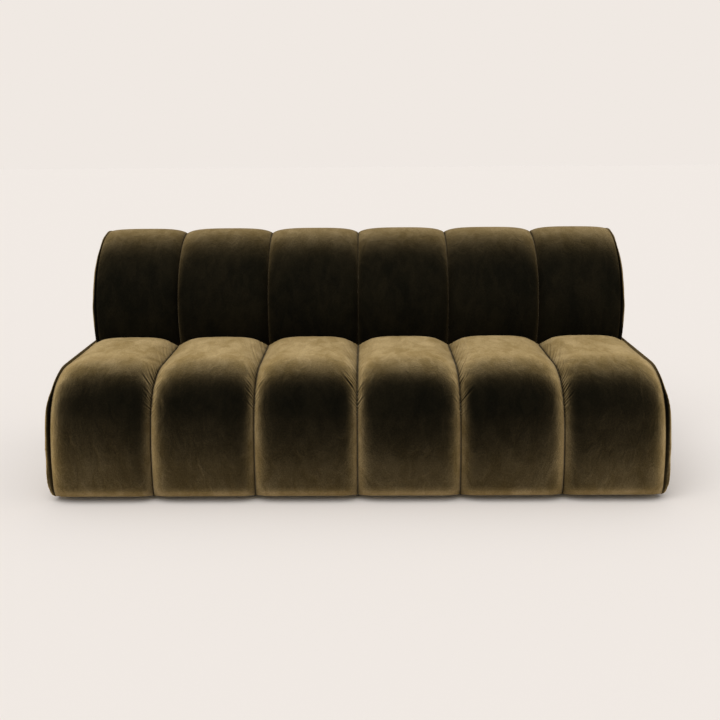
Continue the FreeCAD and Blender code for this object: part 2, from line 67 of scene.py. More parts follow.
# Gaps
CHANNEL_GAP = 0.0003    # from a channel's velvet to the line of its seam
LEAST_GAP = 0.0002      # the same, where a gather comes nearest to it
PANEL_GAP = 0.0004      # from a padded panel to what it lies on

# Shape and filling of the channels
HEM_INSET = 0.008       # how far the hem lies behind the foot of the front's bulge
HEM_BULGE = 0.032       # from the hem up to the foot of the front's bulge
SECTIONS = (3.0, 7.0)   # powers of a channel's soft section and of its squarer one
CLOSED_LEVEL = -0.004   # a channel's level under its seams where its ends close
SWELL = 0.0016          # slow rise and fall of a channel along its crown
STEADY_ROUNDS = 6       # rounds that take small crumples out of a filled channel
SQUARE_HOLD = 0.85      # share of the filling that the squarest part of a channel doesn't take
VELVET = {"quality": 5, "mass": 0.3, "tension_stiffness": 15.0, "compression_stiffness": 15.0,
          "shear_stiffness": 5.0, "bending_stiffness": 0.3}

# Gathers and light
PANEL_GATHERS = 0.0095  # distance between two gathers of an end panel or of the back
CHANNEL_LIGHT = (0.03, 1.3)  # least and most light on the pile of a channel
SMALLEST = 1e-9         # keeps a division from zero


def length_value(name, description, default):
    """A size that can be changed in the sidebar."""
    return FloatProperty(name=name, description=description, default=default, unit="LENGTH")


def angle_value(name, description, degrees):
    """An angle that can be changed in the sidebar."""
    return FloatProperty(name=name, description=description, default=math.radians(degrees), subtype="ANGLE")


def colour_value(name, description, *default):
    """A colour that can be changed in the sidebar."""
    return FloatVectorProperty(name=name, description=description, subtype="COLOR", size=4, default=(*default, 1.0),
                               min=0.0, max=1.0)


class SofaSizes(bpy.types.PropertyGroup):
    """Sizes of the upholstery."""
    pitch: length_value("Seam pitch", "Distance between neighbouring seams", 0.345)
    rise: length_value("Channel rise", "How far a channel stands above its seams", 0.033)
    seat_drop: length_value("Seat crease", "How deep a crease of the seat falls from the crown", 0.037)
    back_drop: length_value("Back crease", "How deep a crease of the back falls from the crown", 0.022)
    back_end_drop: length_value("Back end crease", "Fall of a back channel at the sofa's end", 0.012)
    tuck: length_value("Tuck", "How far the velvet goes down between two channels", 0.012)
    seam_height: length_value("Seat seam height", "Height of the seat's seams", 0.415)
    front_radius: length_value("Front radius", "Bulge of the front face", 0.6)
    front_lean: angle_value("Front lean", "Angle where the bulge meets the nose", 16.0)
    nose_radius: length_value("Nose radius", "Radius of the seat's nose", 0.176)
    nose_end: angle_value("Nose end", "Angle where the nose meets the deck", 65.0)
    deck_radius: length_value("Deck radius", "Radius between nose and deck", 0.3)
    hem_height: length_value("Hem height", "Height of the hem above the floor", 0.014)
    hem_roll: length_value("Hem roll", "Length over which a channel rounds in to the hem", 0.05)
    back_face: length_value("Back depth", "Foremost seam of the back, from the front seams", 0.6)
    back_crest: length_value("Back crest", "Height of the back's seams at the crest", 0.802)
    back_share: FloatProperty(name="Back curve", description="Curve radius as a share of the back's rise",
                              default=0.718, subtype="FACTOR")
    roll_radius: length_value("Rear roll", "Radius of the seams behind the crest", 0.024)
    seat_pad: length_value("Seat end panel", "Thickness of a padded seat end panel", 0.014)
    seat_pad_lip: length_value("Seat end lip", "Edge of the seat end panel above the seams", 0.008)
    back_pad: length_value("Back end panel", "Thickness of a padded back end panel", 0.010)
    back_pad_lip: length_value("Back end lip", "Edge of the back end panel above the seams", 0.024)
    stitch_spacing: length_value("Stitch spacing", "Distance between two hand stitches", 0.007)
    staple_spacing: length_value("Staple spacing", "Distance between two staples", 0.03)


class SofaCloth(bpy.types.PropertyGroup):
    """How the velvet is filled and gathered."""
    pressure: FloatProperty(name="Filling pressure", description="Pressure of the wadding under the velvet",
                            default=4.0)
    fullness: FloatProperty(name="Fullness", description="Spare velvet along and across each channel",
                            default=0.03, subtype="FACTOR")
    frames: IntProperty(name="Frames", description="How long the velvet settles", default=20)
    cap: length_value("Most movement", "Most that the settling may move a point", 0.006)
    gather_depth: length_value("Gather depth", "Depth of the gathers at the seams", 0.0021)
    seed: IntProperty(name="Seed", description="Chooses where the gathers fall", default=7)


class SofaColours(bpy.types.PropertyGroup):
    """Colours of the velvet and of the studio."""
    pile: colour_value("Pile", "Velvet seen straight on", 0.0043, 0.0039, 0.0025)
    worn: colour_value("Brushed pile", "Velvet where the pile lies the other way", 0.0085, 0.0069, 0.0038)
    sheen: colour_value("Sheen", "Colour of the velvet at a grazing angle", 0.40, 0.275, 0.108)
    worn_sheen: colour_value("Brushed sheen", "Sheen where the pile lies the other way", 0.62, 0.45, 0.215)
    tint: colour_value("Bloom", "Faint pale bloom of the pile at its very edge", 0.60, 0.49, 0.33)
    floor: colour_value("Studio", "Colour of the floor and the background", 0.871, 0.815, 0.768)


class SofaStudio(bpy.types.PropertyGroup):
    """Camera and light."""
    lens: FloatProperty(name="Lens", description="Focal length", default=50.0, unit="CAMERA")
    distance: length_value("Distance", "Camera in front of the seat's front seams", 3.1777)
    height: length_value("Height", "Camera above the floor", 1.2205)
    across: length_value("Across", "Camera to the right of the middle", 0.0351)
    pitch: angle_value("Pitch", "How far the camera looks down", 13.0)
    yaw: angle_value("Yaw", "How far the camera turns", -0.445)
    roll: angle_value("Roll", "How far the camera tilts", -0.382)


# Side profiles

def travelled(places):
    """Length from the first of some places to each of them."""
    return np.concatenate([[0.0], np.cumsum(np.hypot(*np.diff(places, axis=0).T))])


class Bend:
    """One arc of a side profile. At angle 0 the seam climbs, and at a right angle it runs backwards."""

    def __init__(self, depth, height, radius, start, end):
        self.depth, self.height, self.radius, self.start, self.end = depth, height, radius, start, end

    def place(self, turn):
        """Depth and height at an angle."""
        return self.depth - self.radius * np.cos(turn), self.height + self.radius * np.sin(turn)

    def follow(self, radius, end):
        """The bend that carries on from this one with no kink."""
        depth, height = self.place(self.end)
        return Bend(depth + radius * math.cos(self.end), height - radius * math.sin(self.end), radius, self.end, end)

    def samples(self):
        """Depth, height and angle in steps of about a millimetre."""
        count = max(int(abs(self.end - self.start) * self.radius / 0.001), 8)
        turn = np.linspace(self.start, self.end, count)
        return np.column_stack([*self.place(turn), turn])


def straight(start, end, turn):
    """A straight run of a side profile."""
    share = np.linspace(0.0, 1.0, max(int(math.dist(start, end) / 0.001), 8))[:, None]
    places = np.array(start) + share * (np.array(end) - np.array(start))
    return np.column_stack([places, np.full(len(places), turn)])


class SideProfile:
    """A seam's path seen from the side, sampled by its length."""

    def __init__(self, runs):
        rows = np.vstack(runs)
        apart = np.hypot(*np.diff(rows[:, :2], axis=0).T) > 1e-7
        self.rows = rows[np.concatenate([[True], apart])]
        self.lengths = travelled(self.rows[:, :2])
        self.length = self.lengths[-1]

    def at(self, lengths):
        """Depth, height and angle at each length."""
        return [np.interp(lengths, self.lengths, column) for column in self.rows.T]

    def length_at_turn(self, turn):
        """Length where the profile first reaches an angle."""
        return float(np.interp(turn, self.rows[:, 2], self.lengths))


def front_seam_y():
    """Where the seat's foremost seams lie along Y."""
    return SEAT_LOW.y + bpy.context.scene.sofa_sizes.rise


def seat_bends(sizes):
    """The bulge of the front, the nose and the bend on to the deck."""
    lean, nose_end = sizes.front_lean, sizes.nose_end
    bulge_height = (sizes.seam_height - sizes.front_radius * math.sin(lean)
                    - sizes.nose_radius * (math.sin(nose_end) - math.sin(lean))
                    - sizes.deck_radius * (1.0 - math.sin(nose_end)))
    low_turn = -math.asin((bulge_height - sizes.hem_height - HEM_BULGE) / sizes.front_radius)
    bulge = Bend(sizes.front_radius, bulge_height, sizes.front_radius, low_turn, lean)
    nose = bulge.follow(sizes.nose_radius, nose_end)
    return [bulge, nose, nose.follow(sizes.deck_radius, math.pi / 2.0)]


def seat_profile(sizes):
    """The seat's seam from the hem up the front, over the nose and back along the deck."""
    bends = seat_bends(sizes)
    first = bends[0].place(bends[0].start)
    deck = bends[-1].place(math.pi / 2.0)
    hem = straight((first[0] + HEM_INSET, sizes.hem_height), first, bends[0].start)
    level = straight(deck, (SEAT_HIGH.y - front_seam_y(), deck[1]), math.pi / 2.0)
    return SideProfile([hem] + [bend.samples() for bend in bends] + [level])


def back_bends(sizes):
    """The curve of the back and the roll behind its crest."""
    radius = sizes.back_share * (sizes.back_crest - sizes.seam_height)
    centre_height = sizes.back_crest - radius
    foot = OUTER_COVER_LOW.z
    curve = Bend(sizes.back_face + radius, centre_height, radius, -math.asin((centre_height - foot) / radius),
                 math.pi / 2.0)
    return [curve, curve.follow(sizes.roll_radius, math.radians(166.0))]


def back_profile(sizes):
    """The back's seam from its foot, up the face and over the crest to the rear cover."""
    return SideProfile([bend.samples() for bend in back_bends(sizes)])


# Grids of velvet

def spread(fine_length, total, fine, coarse, growth=1.12):
    """Places from 0 to total, close together at first and then wider."""
    places, step = [0.0], fine
    while places[-1] < total:
        if places[-1] > fine_length:
            step = min(step * growth, coarse)
        places.append(places[-1] + step)
    places = np.array(places)
    return places * total / places[-1]


def half_section(half, drop, rise, places, fullness):
    """Across and outward places of half a channel, at even shares of the velvet from its crease to its crown."""
    share = 1.0 - np.linspace(0.0, 1.0, 1200) ** 2.6
    across = half * share
    outward = rise - drop * (1.0 - (1.0 - share ** fullness) ** (2.0 / 3.0))
    run = travelled(np.column_stack([across, outward]))
    at = np.asarray(places) * run[-1]
    return np.interp(at, run, across), np.interp(at, run, outward)


def channel_grid(profile, lengths, left, right, drops, sizes, shares, swell, ends, fullness):
    """Points of one channel as rows along its path and columns across it, and how far each column lies from
    either crease. Two columns at either side go down between the channels."""
    half = (right - left) / 2.0 - CHANNEL_GAP
    middle = (left + right) / 2.0
    sections = []
    for power in SECTIONS:
        sides = []
        for way, drop in zip((-1.0, 1.0), drops):
            across, outward = half_section(half, drop, sizes.rise, shares, power)
            across = np.concatenate([[half, half], across])
            outward = np.concatenate([[-sizes.tuck, 0.5 * (sizes.rise - drop - sizes.tuck)], outward])
            sides.append((way * across, outward))
        sections.append([np.concatenate([one, two[-2::-1]]) for one, two in zip(*sides)])
    square = fullness(lengths)[:, None]
    across, outward = [(1.0 - square) * soft[None, :] + square * squarer[None, :]
                       for soft, squarer in zip(*sections)]
    depth, height, turn = profile.at(lengths)
    roundness = np.ones(len(lengths))
    for share in (lengths / max(ends[0], 1e-6), (profile.length - lengths) / max(ends[1], 1e-6)):
        share = np.clip(share, 0.0, 1.0)
        roundness *= np.sqrt(1.0 - (1.0 - share) ** 2)
    lifted = np.where(outward > CLOSED_LEVEL, CLOSED_LEVEL + (outward - CLOSED_LEVEL) * roundness[:, None], outward)
    crown = np.clip(1.0 - (across / half) ** 2, 0.0, 1.0)
    lifted = lifted + swell(lengths)[:, None] * crown * roundness[:, None]
    x = middle + across
    y = front_seam_y() + depth[:, None] - lifted * np.cos(turn)[:, None]
    z = height[:, None] + lifted * np.sin(turn)[:, None]
    row = sections[0][0]
    return np.stack([x, y, z], axis=2), half + row, half - row


def grid_faces(rows, columns, across_loop, along_loop):
    """Four-sided faces of a grid, closed round its columns or its rows where asked."""
    row = np.arange(rows if along_loop else rows - 1)
    column = np.arange(columns if across_loop else columns - 1)
    row, column = [part.ravel() for part in np.meshgrid(row, column, indexing="ij")]
    next_row, next_column = (row + 1) % rows, (column + 1) % columns
    return np.column_stack([row * columns + column, row * columns + next_column,
                            next_row * columns + next_column, next_row * columns + column])


def cap_faces(start, columns):
    """Faces that close the end of a channel, from side to side."""
    low = np.arange(columns // 2)
    high = columns - 1 - low
    low, high = low[low + 1 < high - 1], high[low + 1 < high - 1]
    return np.column_stack([start + low, start + low + 1, start + high - 1, start + high])


def channel_faces(rows, columns):
    """Faces of a closed channel, with its flat base and both ends."""
    first, last, middle = 0, (rows - 1) * columns, columns // 2
    tips = [[start + middle - 1, start + middle, start + middle + 1] for start in (first, last)]
    body = grid_faces(rows, columns, True, False)
    return [body, cap_faces(first, columns)[:, ::-1], cap_faces(last, columns)], [tips[0][::-1], tips[1]]


def placed(name, data):
    """A new object in the scene."""
    piece = bpy.data.objects.new(name, data)
    bpy.context.scene.collection.objects.link(piece)
    return piece


def make_mesh(name, points, quads, others, material, shade=None):
    """A smooth mesh object from points, four-sided faces and a few other faces. Shade is how much of the light
    reaches the pile at each point."""
    quads = np.vstack(quads)
    corners = np.concatenate([quads.ravel(), np.array([corner for face in others for corner in face], int)])
    sides = np.concatenate([np.full(len(quads), 4), np.array([len(face) for face in others], int)])
    mesh = bpy.data.meshes.new(name)
    mesh.vertices.add(points.size // 3)
    mesh.vertices.foreach_set("co", points.astype(np.float32).ravel())
    mesh.loops.add(len(corners))
    mesh.loops.foreach_set("vertex_index", corners.astype(np.int32))
    mesh.polygons.add(len(sides))
    mesh.polygons.foreach_set("loop_start", np.concatenate([[0], np.cumsum(sides)[:-1]]).astype(np.int32))
    mesh.polygons.foreach_set("use_smooth", np.ones(len(sides), bool))
    mesh.update(calc_edges=True)
    mesh.validate()
    shades = mesh.attributes.new("shade", "FLOAT", "POINT")
    values = np.ones(len(mesh.vertices), np.float32)
    if shade is not None:
        values[:shade.size] = shade.ravel()
    shades.data.foreach_set("value", values)
    mesh.materials.append(material)
    point_outwards(mesh)
    return placed(name, mesh)


def point_outwards(mesh):
    """Turns the faces of a closed mesh outwards."""
    mesh.calc_loop_triangles()
    corners = np.zeros(len(mesh.vertices) * 3)
    mesh.vertices.foreach_get("co", corners)
    corners = corners.reshape(-1, 3)
    sides = np.zeros(len(mesh.loop_triangles) * 3, int)
    mesh.loop_triangles.foreach_get("vertices", sides)
    a, b, c = [corners[part] for part in sides.reshape(-1, 3).T]
    if np.einsum("ij,ij->", a, np.cross(b, c)) < 0.0:
        mesh.flip_normals()


def grid_normals(points, along_loop=False):
    """Outward directions of a grid of points."""
    if along_loop:
        rows = np.roll(points, -1, axis=0) - np.roll(points, 1, axis=0)
    else:
        rows = np.gradient(points, axis=0)
    columns = np.gradient(points, axis=1)
    normals = np.cross(rows, columns)
    return normals / np.maximum(np.linalg.norm(normals, axis=2, keepdims=True), SMALLEST)


def smooth_weights(coarse, fine):
    """Weights that carry values from coarse places to fine places along a smooth curve."""
    index = np.clip(np.searchsorted(coarse, fine, side="right") - 1, 0, len(coarse) - 2)
    share = (fine - coarse[index]) / (coarse[index + 1] - coarse[index])
    weights = np.zeros((len(fine), len(coarse)))
    spline = [-0.5 * share + share ** 2 - 0.5 * share ** 3, 1.0 - 2.5 * share ** 2 + 1.5 * share ** 3,
              0.5 * share + 2.0 * share ** 2 - 1.5 * share ** 3, -0.5 * share ** 2 + 0.5 * share ** 3]
    for offset, part in zip((-1, 0, 1, 2), spline):
        place = np.clip(index + offset, 0, len(coarse) - 1)
        np.add.at(weights, (np.arange(len(fine)), place), part)
    return weights


# Filling

def settled(name, points, quads, others, sewn):
    """How far each point moves when the velvet is filled and settles, with the sewn points held."""
    scene = bpy.context.scene
    cloth = scene.sofa_cloth
    piece = make_mesh(name, points, quads, others, bpy.data.materials["olive velvet, seat"])
    held = piece.vertex_groups.new(name="sewn")
    held.add(np.flatnonzero(sewn.ravel()).tolist(), 1.0, "REPLACE")
    filling = piece.modifiers.new("filling", "CLOTH")
    settings = filling.settings
    settings.vertex_group_mass = "sewn"
    settings.use_pressure = True
    for label, value in VELVET.items():
        setattr(settings, label, value)
    settings.uniform_pressure_force = cloth.pressure
    settings.shrink_min = -cloth.fullness
    settings.effector_weights.gravity = 0.0
    filling.collision_settings.use_collision = False
    filling.point_cache.frame_start = 1
    filling.point_cache.frame_end = cloth.frames
    for number in range(1, cloth.frames + 1):
        scene.frame_set(number)
    result = piece.evaluated_get(bpy.context.evaluated_depsgraph_get()).to_mesh()
    moved = np.zeros(len(result.vertices) * 3)
    result.vertices.foreach_get("co", moved)
    shift = moved.reshape(points.shape) - points
    mesh = piece.data
    bpy.data.objects.remove(piece)
    bpy.data.meshes.remove(mesh)
    scene.frame_set(1)
    length = np.linalg.norm(shift, axis=2, keepdims=True)
    shift = shift * (cloth.cap * np.tanh(length / cloth.cap) / np.maximum(length, SMALLEST))
    return np.where(sewn[:, :, None], 0.0, shift)


def steadied(shift, rounds, along_loop):
    """A movement without its small crumples along a seam."""
    for _ in range(rounds):
        before, after = np.roll(shift, 1, axis=0), np.roll(shift, -1, axis=0)
        if not along_loop:
            before[0], after[-1] = shift[0], shift[-1]
        shift = 0.25 * before + 0.5 * shift + 0.25 * after
    return shift


# Gathers

class GatherLines:
    """The lines that gathers follow from a seam, which lean more and more along it as they leave the nose."""

    def __init__(self, total, lean, spacing):
        self.lengths = np.linspace(-0.1, total + 0.3, 1600)
        self.lean = lean(self.lengths)
        step = self.lengths[1] - self.lengths[0]
        self.travel = np.cumsum(step / self.lean)
        self.count = np.cumsum(step / (spacing * np.sqrt(1.0 + self.lean ** 2)))

    def places(self, random, total):
        """Places along a seam where gathers start, at a fairly even spacing."""
        first, last = np.interp((0.0, total), self.lengths, self.count)
        steps = np.arange(math.floor(first), math.ceil(last))
        return np.interp(steps + random.uniform(-0.33, 0.33, len(steps)), self.count, self.lengths)

    def follow(self, place, share, out):
        """Where a gather lies at each distance from its seam, and how much it leans there."""
        travel = np.interp(place, self.lengths, self.travel) + share * out
        line = np.interp(travel, self.travel, self.lengths)
        return line, np.interp(line, self.lengths, self.lean)


def gathers(random, places, strength, reach):
    """Random gathers along a seam: place, share of the lean, reach, width and depth."""
    rows = []
    for place in places:
        length = reach(place) * random.uniform(0.4, 1.0) * (1.5 if random.random() < 0.2 else 1.0)
        rows.append((place, random.uniform(0.75, 1.2), length, random.uniform(0.0022, 0.0034),
                     strength(place) * random.uniform(0.5, 1.2)))
    return rows


def gather_field(lengths, reach, lines, rows):
    """How far the velvet sinks at each point of a grid, for the gathers on one side of a seam."""
    field = np.zeros((len(lengths), len(reach)))
    near = np.flatnonzero(reach < 0.2)
    out = np.maximum(reach[near], 0.0)
    for place, share, length, width, depth in rows:
        used = near[out < length]
        if len(used) == 0 or depth < 0.03:
            continue
        beyond = out[out < length]
        line, lean = lines.follow(place, share, beyond)
        gone = beyond / length
        low, high = np.searchsorted(lengths, (line.min() - 0.04, line.max() + 0.04))
        along = (lengths[low:high, None] - line[None, :]) / np.sqrt(1.0 + (share * lean[None, :]) ** 2)
        along = along / (width * (0.85 + 0.6 * gone[None, :]))
        fade = (1.0 - gone) ** 1.2 * np.clip(beyond / 0.003 + 0.5, 0.0, 1.0)
        fold = np.exp(-along ** 2) - 0.7 * np.exp(-((along - 1.6) / 1.1) ** 2)
        field[low:high, used] += depth * fade[None, :] * fold
    return field


def bumps(random, count, longest, amount):
    """A slow random wave along a length."""
    waves = [(random.uniform(0.3, 1.0) * longest, random.uniform(0.0, 6.28), random.uniform(0.4, 1.0))
             for _ in range(count)]
    return lambda lengths: amount * sum(part * np.sin(6.2832 * lengths / long + shift)
                                        for long, shift, part in waves) / count


# Pieces

def finish_piece(piece, nodes):
    """Hangs a piece under the root and hides the frame parts that it stands for."""
    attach(piece, "root")
    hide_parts(*nodes)


def sewn_last(edge, side):
    """Whether this edge of a channel was sewn down last. The work goes from both ends to the middle."""
    return (side == 1) == (edge <= CHANNELS // 2)


def seam_places(half_width, sizes):
    """The edges of the channels from left to right."""
    inner = [(number - CHANNELS / 2.0 + 1.0) * sizes.pitch for number in range(CHANNELS - 1)]
    return [-half_width] + inner + [half_width]


def whole_places(half):
    """Places across a whole channel from those of half of it, with two more for the tuck at either side."""
    return np.concatenate([[-0.2, -0.1], half, 2.0 - half[-2::-1], [2.1, 2.2]])


def make_channels(kind, profile, fine_lengths, coarse_lengths, half_width, drop, end_drop, ends, fullness,
                  gather_rules, dimmed):
    """The six channels of the seat or of the back. All are filled in one go, and gathered one by one. Dimmed pairs
    lengths from the start of the channels with shares of light."""
    sizes, cloth = bpy.context.scene.sofa_sizes, bpy.context.scene.sofa_cloth
    edges = seam_places(half_width, sizes)
    widest = sizes.pitch / 2.0 + sizes.rise
    fine = spread(0.055, widest, 0.0024, 0.011) / widest
    coarse = spread(0.02, widest, 0.007, 0.013) / widest
    jobs = []
    for number in range(CHANNELS):
        random = np.random.default_rng([cloth.seed, number, len(kind)])
        drops = (end_drop if number == 0 else drop, end_drop if number == CHANNELS - 1 else drop)
        swell = bumps(random, 4, 0.5, SWELL)
        grids = [channel_grid(profile, lengths, edges[number], edges[number + 1], drops, sizes, shares, swell, ends,
                              fullness)
                 for lengths, shares in ((coarse_lengths, coarse), (fine_lengths, fine))]
        jobs.append((number, random, *grids))
    rows, columns = jobs[0][2][0].shape[:2]
    quads, tips = channel_faces(rows, columns)
    starts = [number * rows * columns for number in range(CHANNELS)]
    sewn = np.zeros((rows, columns), bool)
    sewn[:, :3] = sewn[:, -3:] = True
    sewn[:1] = sewn[-1:] = True
    shift = settled(kind + "_filling", np.vstack([job[2][0] for job in jobs]),
                    [np.vstack(quads) + start for start in starts],
                    [[corner + start for corner in tip] for start in starts for tip in tips],
                    np.vstack([sewn] * CHANNELS))
    across = smooth_weights(whole_places(coarse), whole_places(fine))
    along = smooth_weights(coarse_lengths, fine_lengths)
    faces, tips = channel_faces(len(fine_lengths), len(whole_places(fine)))
    for number, random, _, (points, *reaches) in jobs:
        part = steadied(shift[number * rows:(number + 1) * rows], STEADY_ROUNDS, False)
        part = part * (1.0 - SQUARE_HOLD * fullness(coarse_lengths))[:, None, None]
        points = points + np.einsum("ij,jkc,lk->ilc", along, part, across)
        field = np.zeros(points.shape[:2])
        for side, reach in enumerate(reaches):
            lines, strength, reach_of = gather_rules(number + side, side)
            rows_here = gathers(random, lines.places(random, profile.length), strength, reach_of)
            field += gather_field(fine_lengths, reach, lines, rows_here)
        points = points - cloth.gather_depth * field[:, :, None] * outward_normals(points)
        # Painted shade in the creases, towards the seat's hem and in the hollows of the gathers, and painted highlight
        # on the gathers' ridges
        shade = crease_shade(number, fullness(fine_lengths), reaches)
        shade = shade * np.interp(fine_lengths, *zip(*dimmed))[:, None]
        shade = np.clip(shade * (1.0 - 0.6 * np.clip(field, -0.4, 1.2)), *CHANNEL_LIGHT)
        points[:, :, 0] = np.clip(points[:, :, 0], edges[number] + LEAST_GAP, edges[number + 1] - LEAST_GAP)
        piece = make_mesh("%s_velvet_%d" % (kind, number + 1), points, faces, tips,
                          bpy.data.materials["olive velvet, " + kind], shade)
        finish_piece(piece, ["%s_channel_%d" % (kind, number + 1)])


def crease_shade(number, square, reaches):
    """How much light reaches the pile near the creases of a channel. Square is 1 where the channel is squarest."""
    square = square[:, None]
    shade = np.ones((len(square), len(reaches[0])))
    for side, reach in enumerate(reaches):
        at_end = number + side in (0, CHANNELS)
        depth, width = (0.5, 0.017) if sewn_last(number + side, side) and not at_end else (0.25, 0.006)
        shade *= 1.0 - 0.95 * np.exp(-(reach / (0.0010 if at_end else 0.0024)) ** 1.5)
        shade *= 1.0 - (0.0 if at_end else 0.55) * square * np.exp(-reach / 0.010)
        shade *= 1.0 - depth * (1.0 - square) * np.exp(-reach / width)
    return shade


def outward_normals(points):
    """Directions away from the inside of a channel."""
    normals = grid_normals(points)
    inside_out = normals[len(normals) // 2, points.shape[1] // 2, 1] > 0.0
    return -normals if inside_out else normals


def along_places(profile, fine_ranges, fine, coarse):
    """Lengths along a profile, close together in some ranges."""
    lengths = [0.0]
    while lengths[-1] < profile.length:
        here = lengths[-1]
        away = min([max(low - here, here - high, 0.0) for low, high in fine_ranges] + [1.0])
        lengths.append(here + min(coarse, fine + 0.06 * away))
    lengths = np.array(lengths)
    return lengths * profile.length / lengths[-1]


class SOFA_OT_seat_channels(bpy.types.Operator):
    """Makes the six velvet channels of the seat"""
    bl_idname = "sofa.seat_channels"
    bl_label = "Seat channels"

    def execute(self, context):
        sizes = context.scene.sofa_sizes
        profile = seat_profile(sizes)
        nose = profile.length_at_turn(sizes.front_lean)
        nose_end = profile.length_at_turn(sizes.nose_end)
        deck = profile.length_at_turn(math.pi / 2.0 - 0.001)
        fine = along_places(profile, [(nose - 0.03, deck + 0.02)], 0.0018, 0.0055)
        coarse = along_places(profile, [(nose, deck)], 0.008, 0.012)
        rise = [(0.0, 0.35), (nose, 0.42), (nose + 0.04, 0.55), (0.5 * (nose + nose_end), 0.8), (nose_end, 1.3),
                (0.5 * (nose_end + deck), 2.4), (deck + 0.02, 4.2), (profile.length, 5.0)]
        lines = GatherLines(profile.length, lambda places: np.interp(places, *zip(*rise)), 0.0074)

        def strength(place, longer):
            over_nose = math.exp(-((place - nose - 0.045) / (0.042 if place < nose + 0.045 else 0.09)) ** 2)
            on_deck = 0.62 * longer if place > nose + 0.08 else 0.0
            at_rear = min(max((profile.length - place) / 0.05, 0.2), 1.0)
            return max(over_nose, on_deck * at_rear, 0.07)

        def rules(edge, side):
            """How the velvet gathers at one edge of a channel: most on the side that was sewn down last."""
            at_end = edge in (0, CHANNELS)
            longer = 0.35 if at_end else 0.95 if sewn_last(edge, side) else 0.55
            weaker = 0.5 if at_end else 1.0
            return (lines, lambda place: weaker * strength(place, longer),
                    lambda place: (0.6 + longer) * float(np.interp(place, (nose, nose_end, deck),
                                                                   (0.020, 0.034, 0.044))))

        def fullness(lengths):
            return np.interp(lengths, (0.0, nose - 0.03, nose_end), (0.9, 0.9, 0.0))

        make_channels("seat", profile, fine, coarse, -SEAT_END_LOW.x, sizes.seat_drop, sizes.seat_drop,
                      (sizes.hem_roll, 0.012), fullness, rules,
                      [(0.0, 0.6), (0.025, 0.65), (0.06, 0.78), (0.12, 1.0)])
        return {"FINISHED"}


class SOFA_OT_back_channels(bpy.types.Operator):
    """Makes the six velvet channels of the back"""
    bl_idname = "sofa.back_channels"
    bl_label = "Back channels"

    def execute(self, context):
        sizes = context.scene.sofa_sizes
        profile = back_profile(sizes)
        crest = profile.length_at_turn(math.pi / 2.0)
        fine = along_places(profile, [(crest - 0.1, profile.length)], 0.0021, 0.006)
        coarse = along_places(profile, [(crest - 0.03, profile.length)], 0.007, 0.012)
        lines = GatherLines(profile.length, lambda places: np.full(len(places), 0.5), PANEL_GATHERS)

        def strength(place):
            return max(0.6 * math.exp(-((place - crest + 0.035) / 0.05) ** 2), 0.06)

        make_channels("back", profile, fine, coarse, -BACK_END_LOW.x, sizes.back_drop, sizes.back_end_drop,
                      (0.02, 0.05), lambda lengths: np.interp(lengths, (crest - 0.28, crest - 0.08), (0.6, 0.3)),
                      lambda edge, side: (lines, strength, lambda place: 0.026), [(0.0, 1.0), (1.0, 1.0)])
        return {"FINISHED"}


# Padded panels

def even_outline(corners, step):
    """Points at even distances round a closed outline."""
    ring = np.vstack([corners, corners[:1]])
    lengths = travelled(ring)
    at = np.linspace(0.0, lengths[-1], 4 * int(lengths[-1] / step / 4.0), endpoint=False)
    return np.column_stack([np.interp(at, lengths, column) for column in ring.T]), at


def round_corner(before, corner, after, radius, count=12):
    """Points round a corner between two straight edges."""
    before, corner, after = map(np.array, (before, corner, after))
    one = (before - corner) / np.linalg.norm(before - corner)
    two = (after - corner) / np.linalg.norm(after - corner)
    share = np.linspace(0.0, 1.0, count)[:, None]
    start, end = corner + one * radius, corner + two * radius
    return (1.0 - share) ** 2 * start + 2.0 * share * (1.0 - share) * corner + share ** 2 * end


def eased(value):
    """A smooth rise from 0 to 1."""
    value = np.clip(value, 0.0, 1.0)
    return value * value * (3.0 - 2.0 * value)


def panel_rings(outline, thickness, edge, dome, inner, rings):
    """Insets and heights of a padded panel: its tucked edge, its rounded rim and its face."""
    turns = np.linspace(0.0, math.pi / 2.0, 7)
    rows = [(0.0, -inner), (0.0, 0.0), (0.0, 0.45 * (thickness - edge))]
    rows += [(edge * (1.0 - math.cos(turn)), thickness - edge + edge * math.sin(turn)) for turn in turns]
    centre = outline.mean(axis=0)
    tangent = np.roll(outline, -1, axis=0) - np.roll(outline, 1, axis=0)
    normal = np.column_stack([tangent[:, 1], -tangent[:, 0]])
    normal /= np.linalg.norm(normal, axis=1, keepdims=True)
    if np.mean(np.einsum("ij,ij->i", normal, outline - centre)) < 0.0:
        normal = -normal
    layers = [(outline - normal * inset, height) for inset, height in rows]
    rim, top = layers[-1]
    for share in 1.0 - np.linspace(0.0, 1.0, rings + 1)[1:-1] ** 1.4:
        layers.append((centre + (rim - centre) * share, top + dome * (1.0 - share ** 2) ** 0.8))
    return layers, (centre, top + dome)


def wrapped_weights(picks, count):
    """Weights that carry values from some points of a closed outline to all of them."""
    wide = np.concatenate([picks[-2:] - count, picks, picks[:3] + count])
    weights = smooth_weights(wide, np.arange(count))
    folded = weights[:, 2:2 + len(picks)].copy()
    folded[:, -2:] += weights[:, :2]
    folded[:, :3] += weights[:, 2 + len(picks):]
    return folded


def panel_faces(rows, columns):
    """Faces of a closed panel of rings, whose two centres are its last points."""
    before, after, last = np.arange(rows) * columns, (np.arange(rows) + 1) % rows * columns, columns - 1
    fans = [[int(one), int(two), rows * columns] for one, two in zip(before, after)]
    fans += [[int(two) + last, int(one) + last, rows * columns + 1] for one, two in zip(before, after)]
    return [grid_faces(rows, columns, False, True)], fans


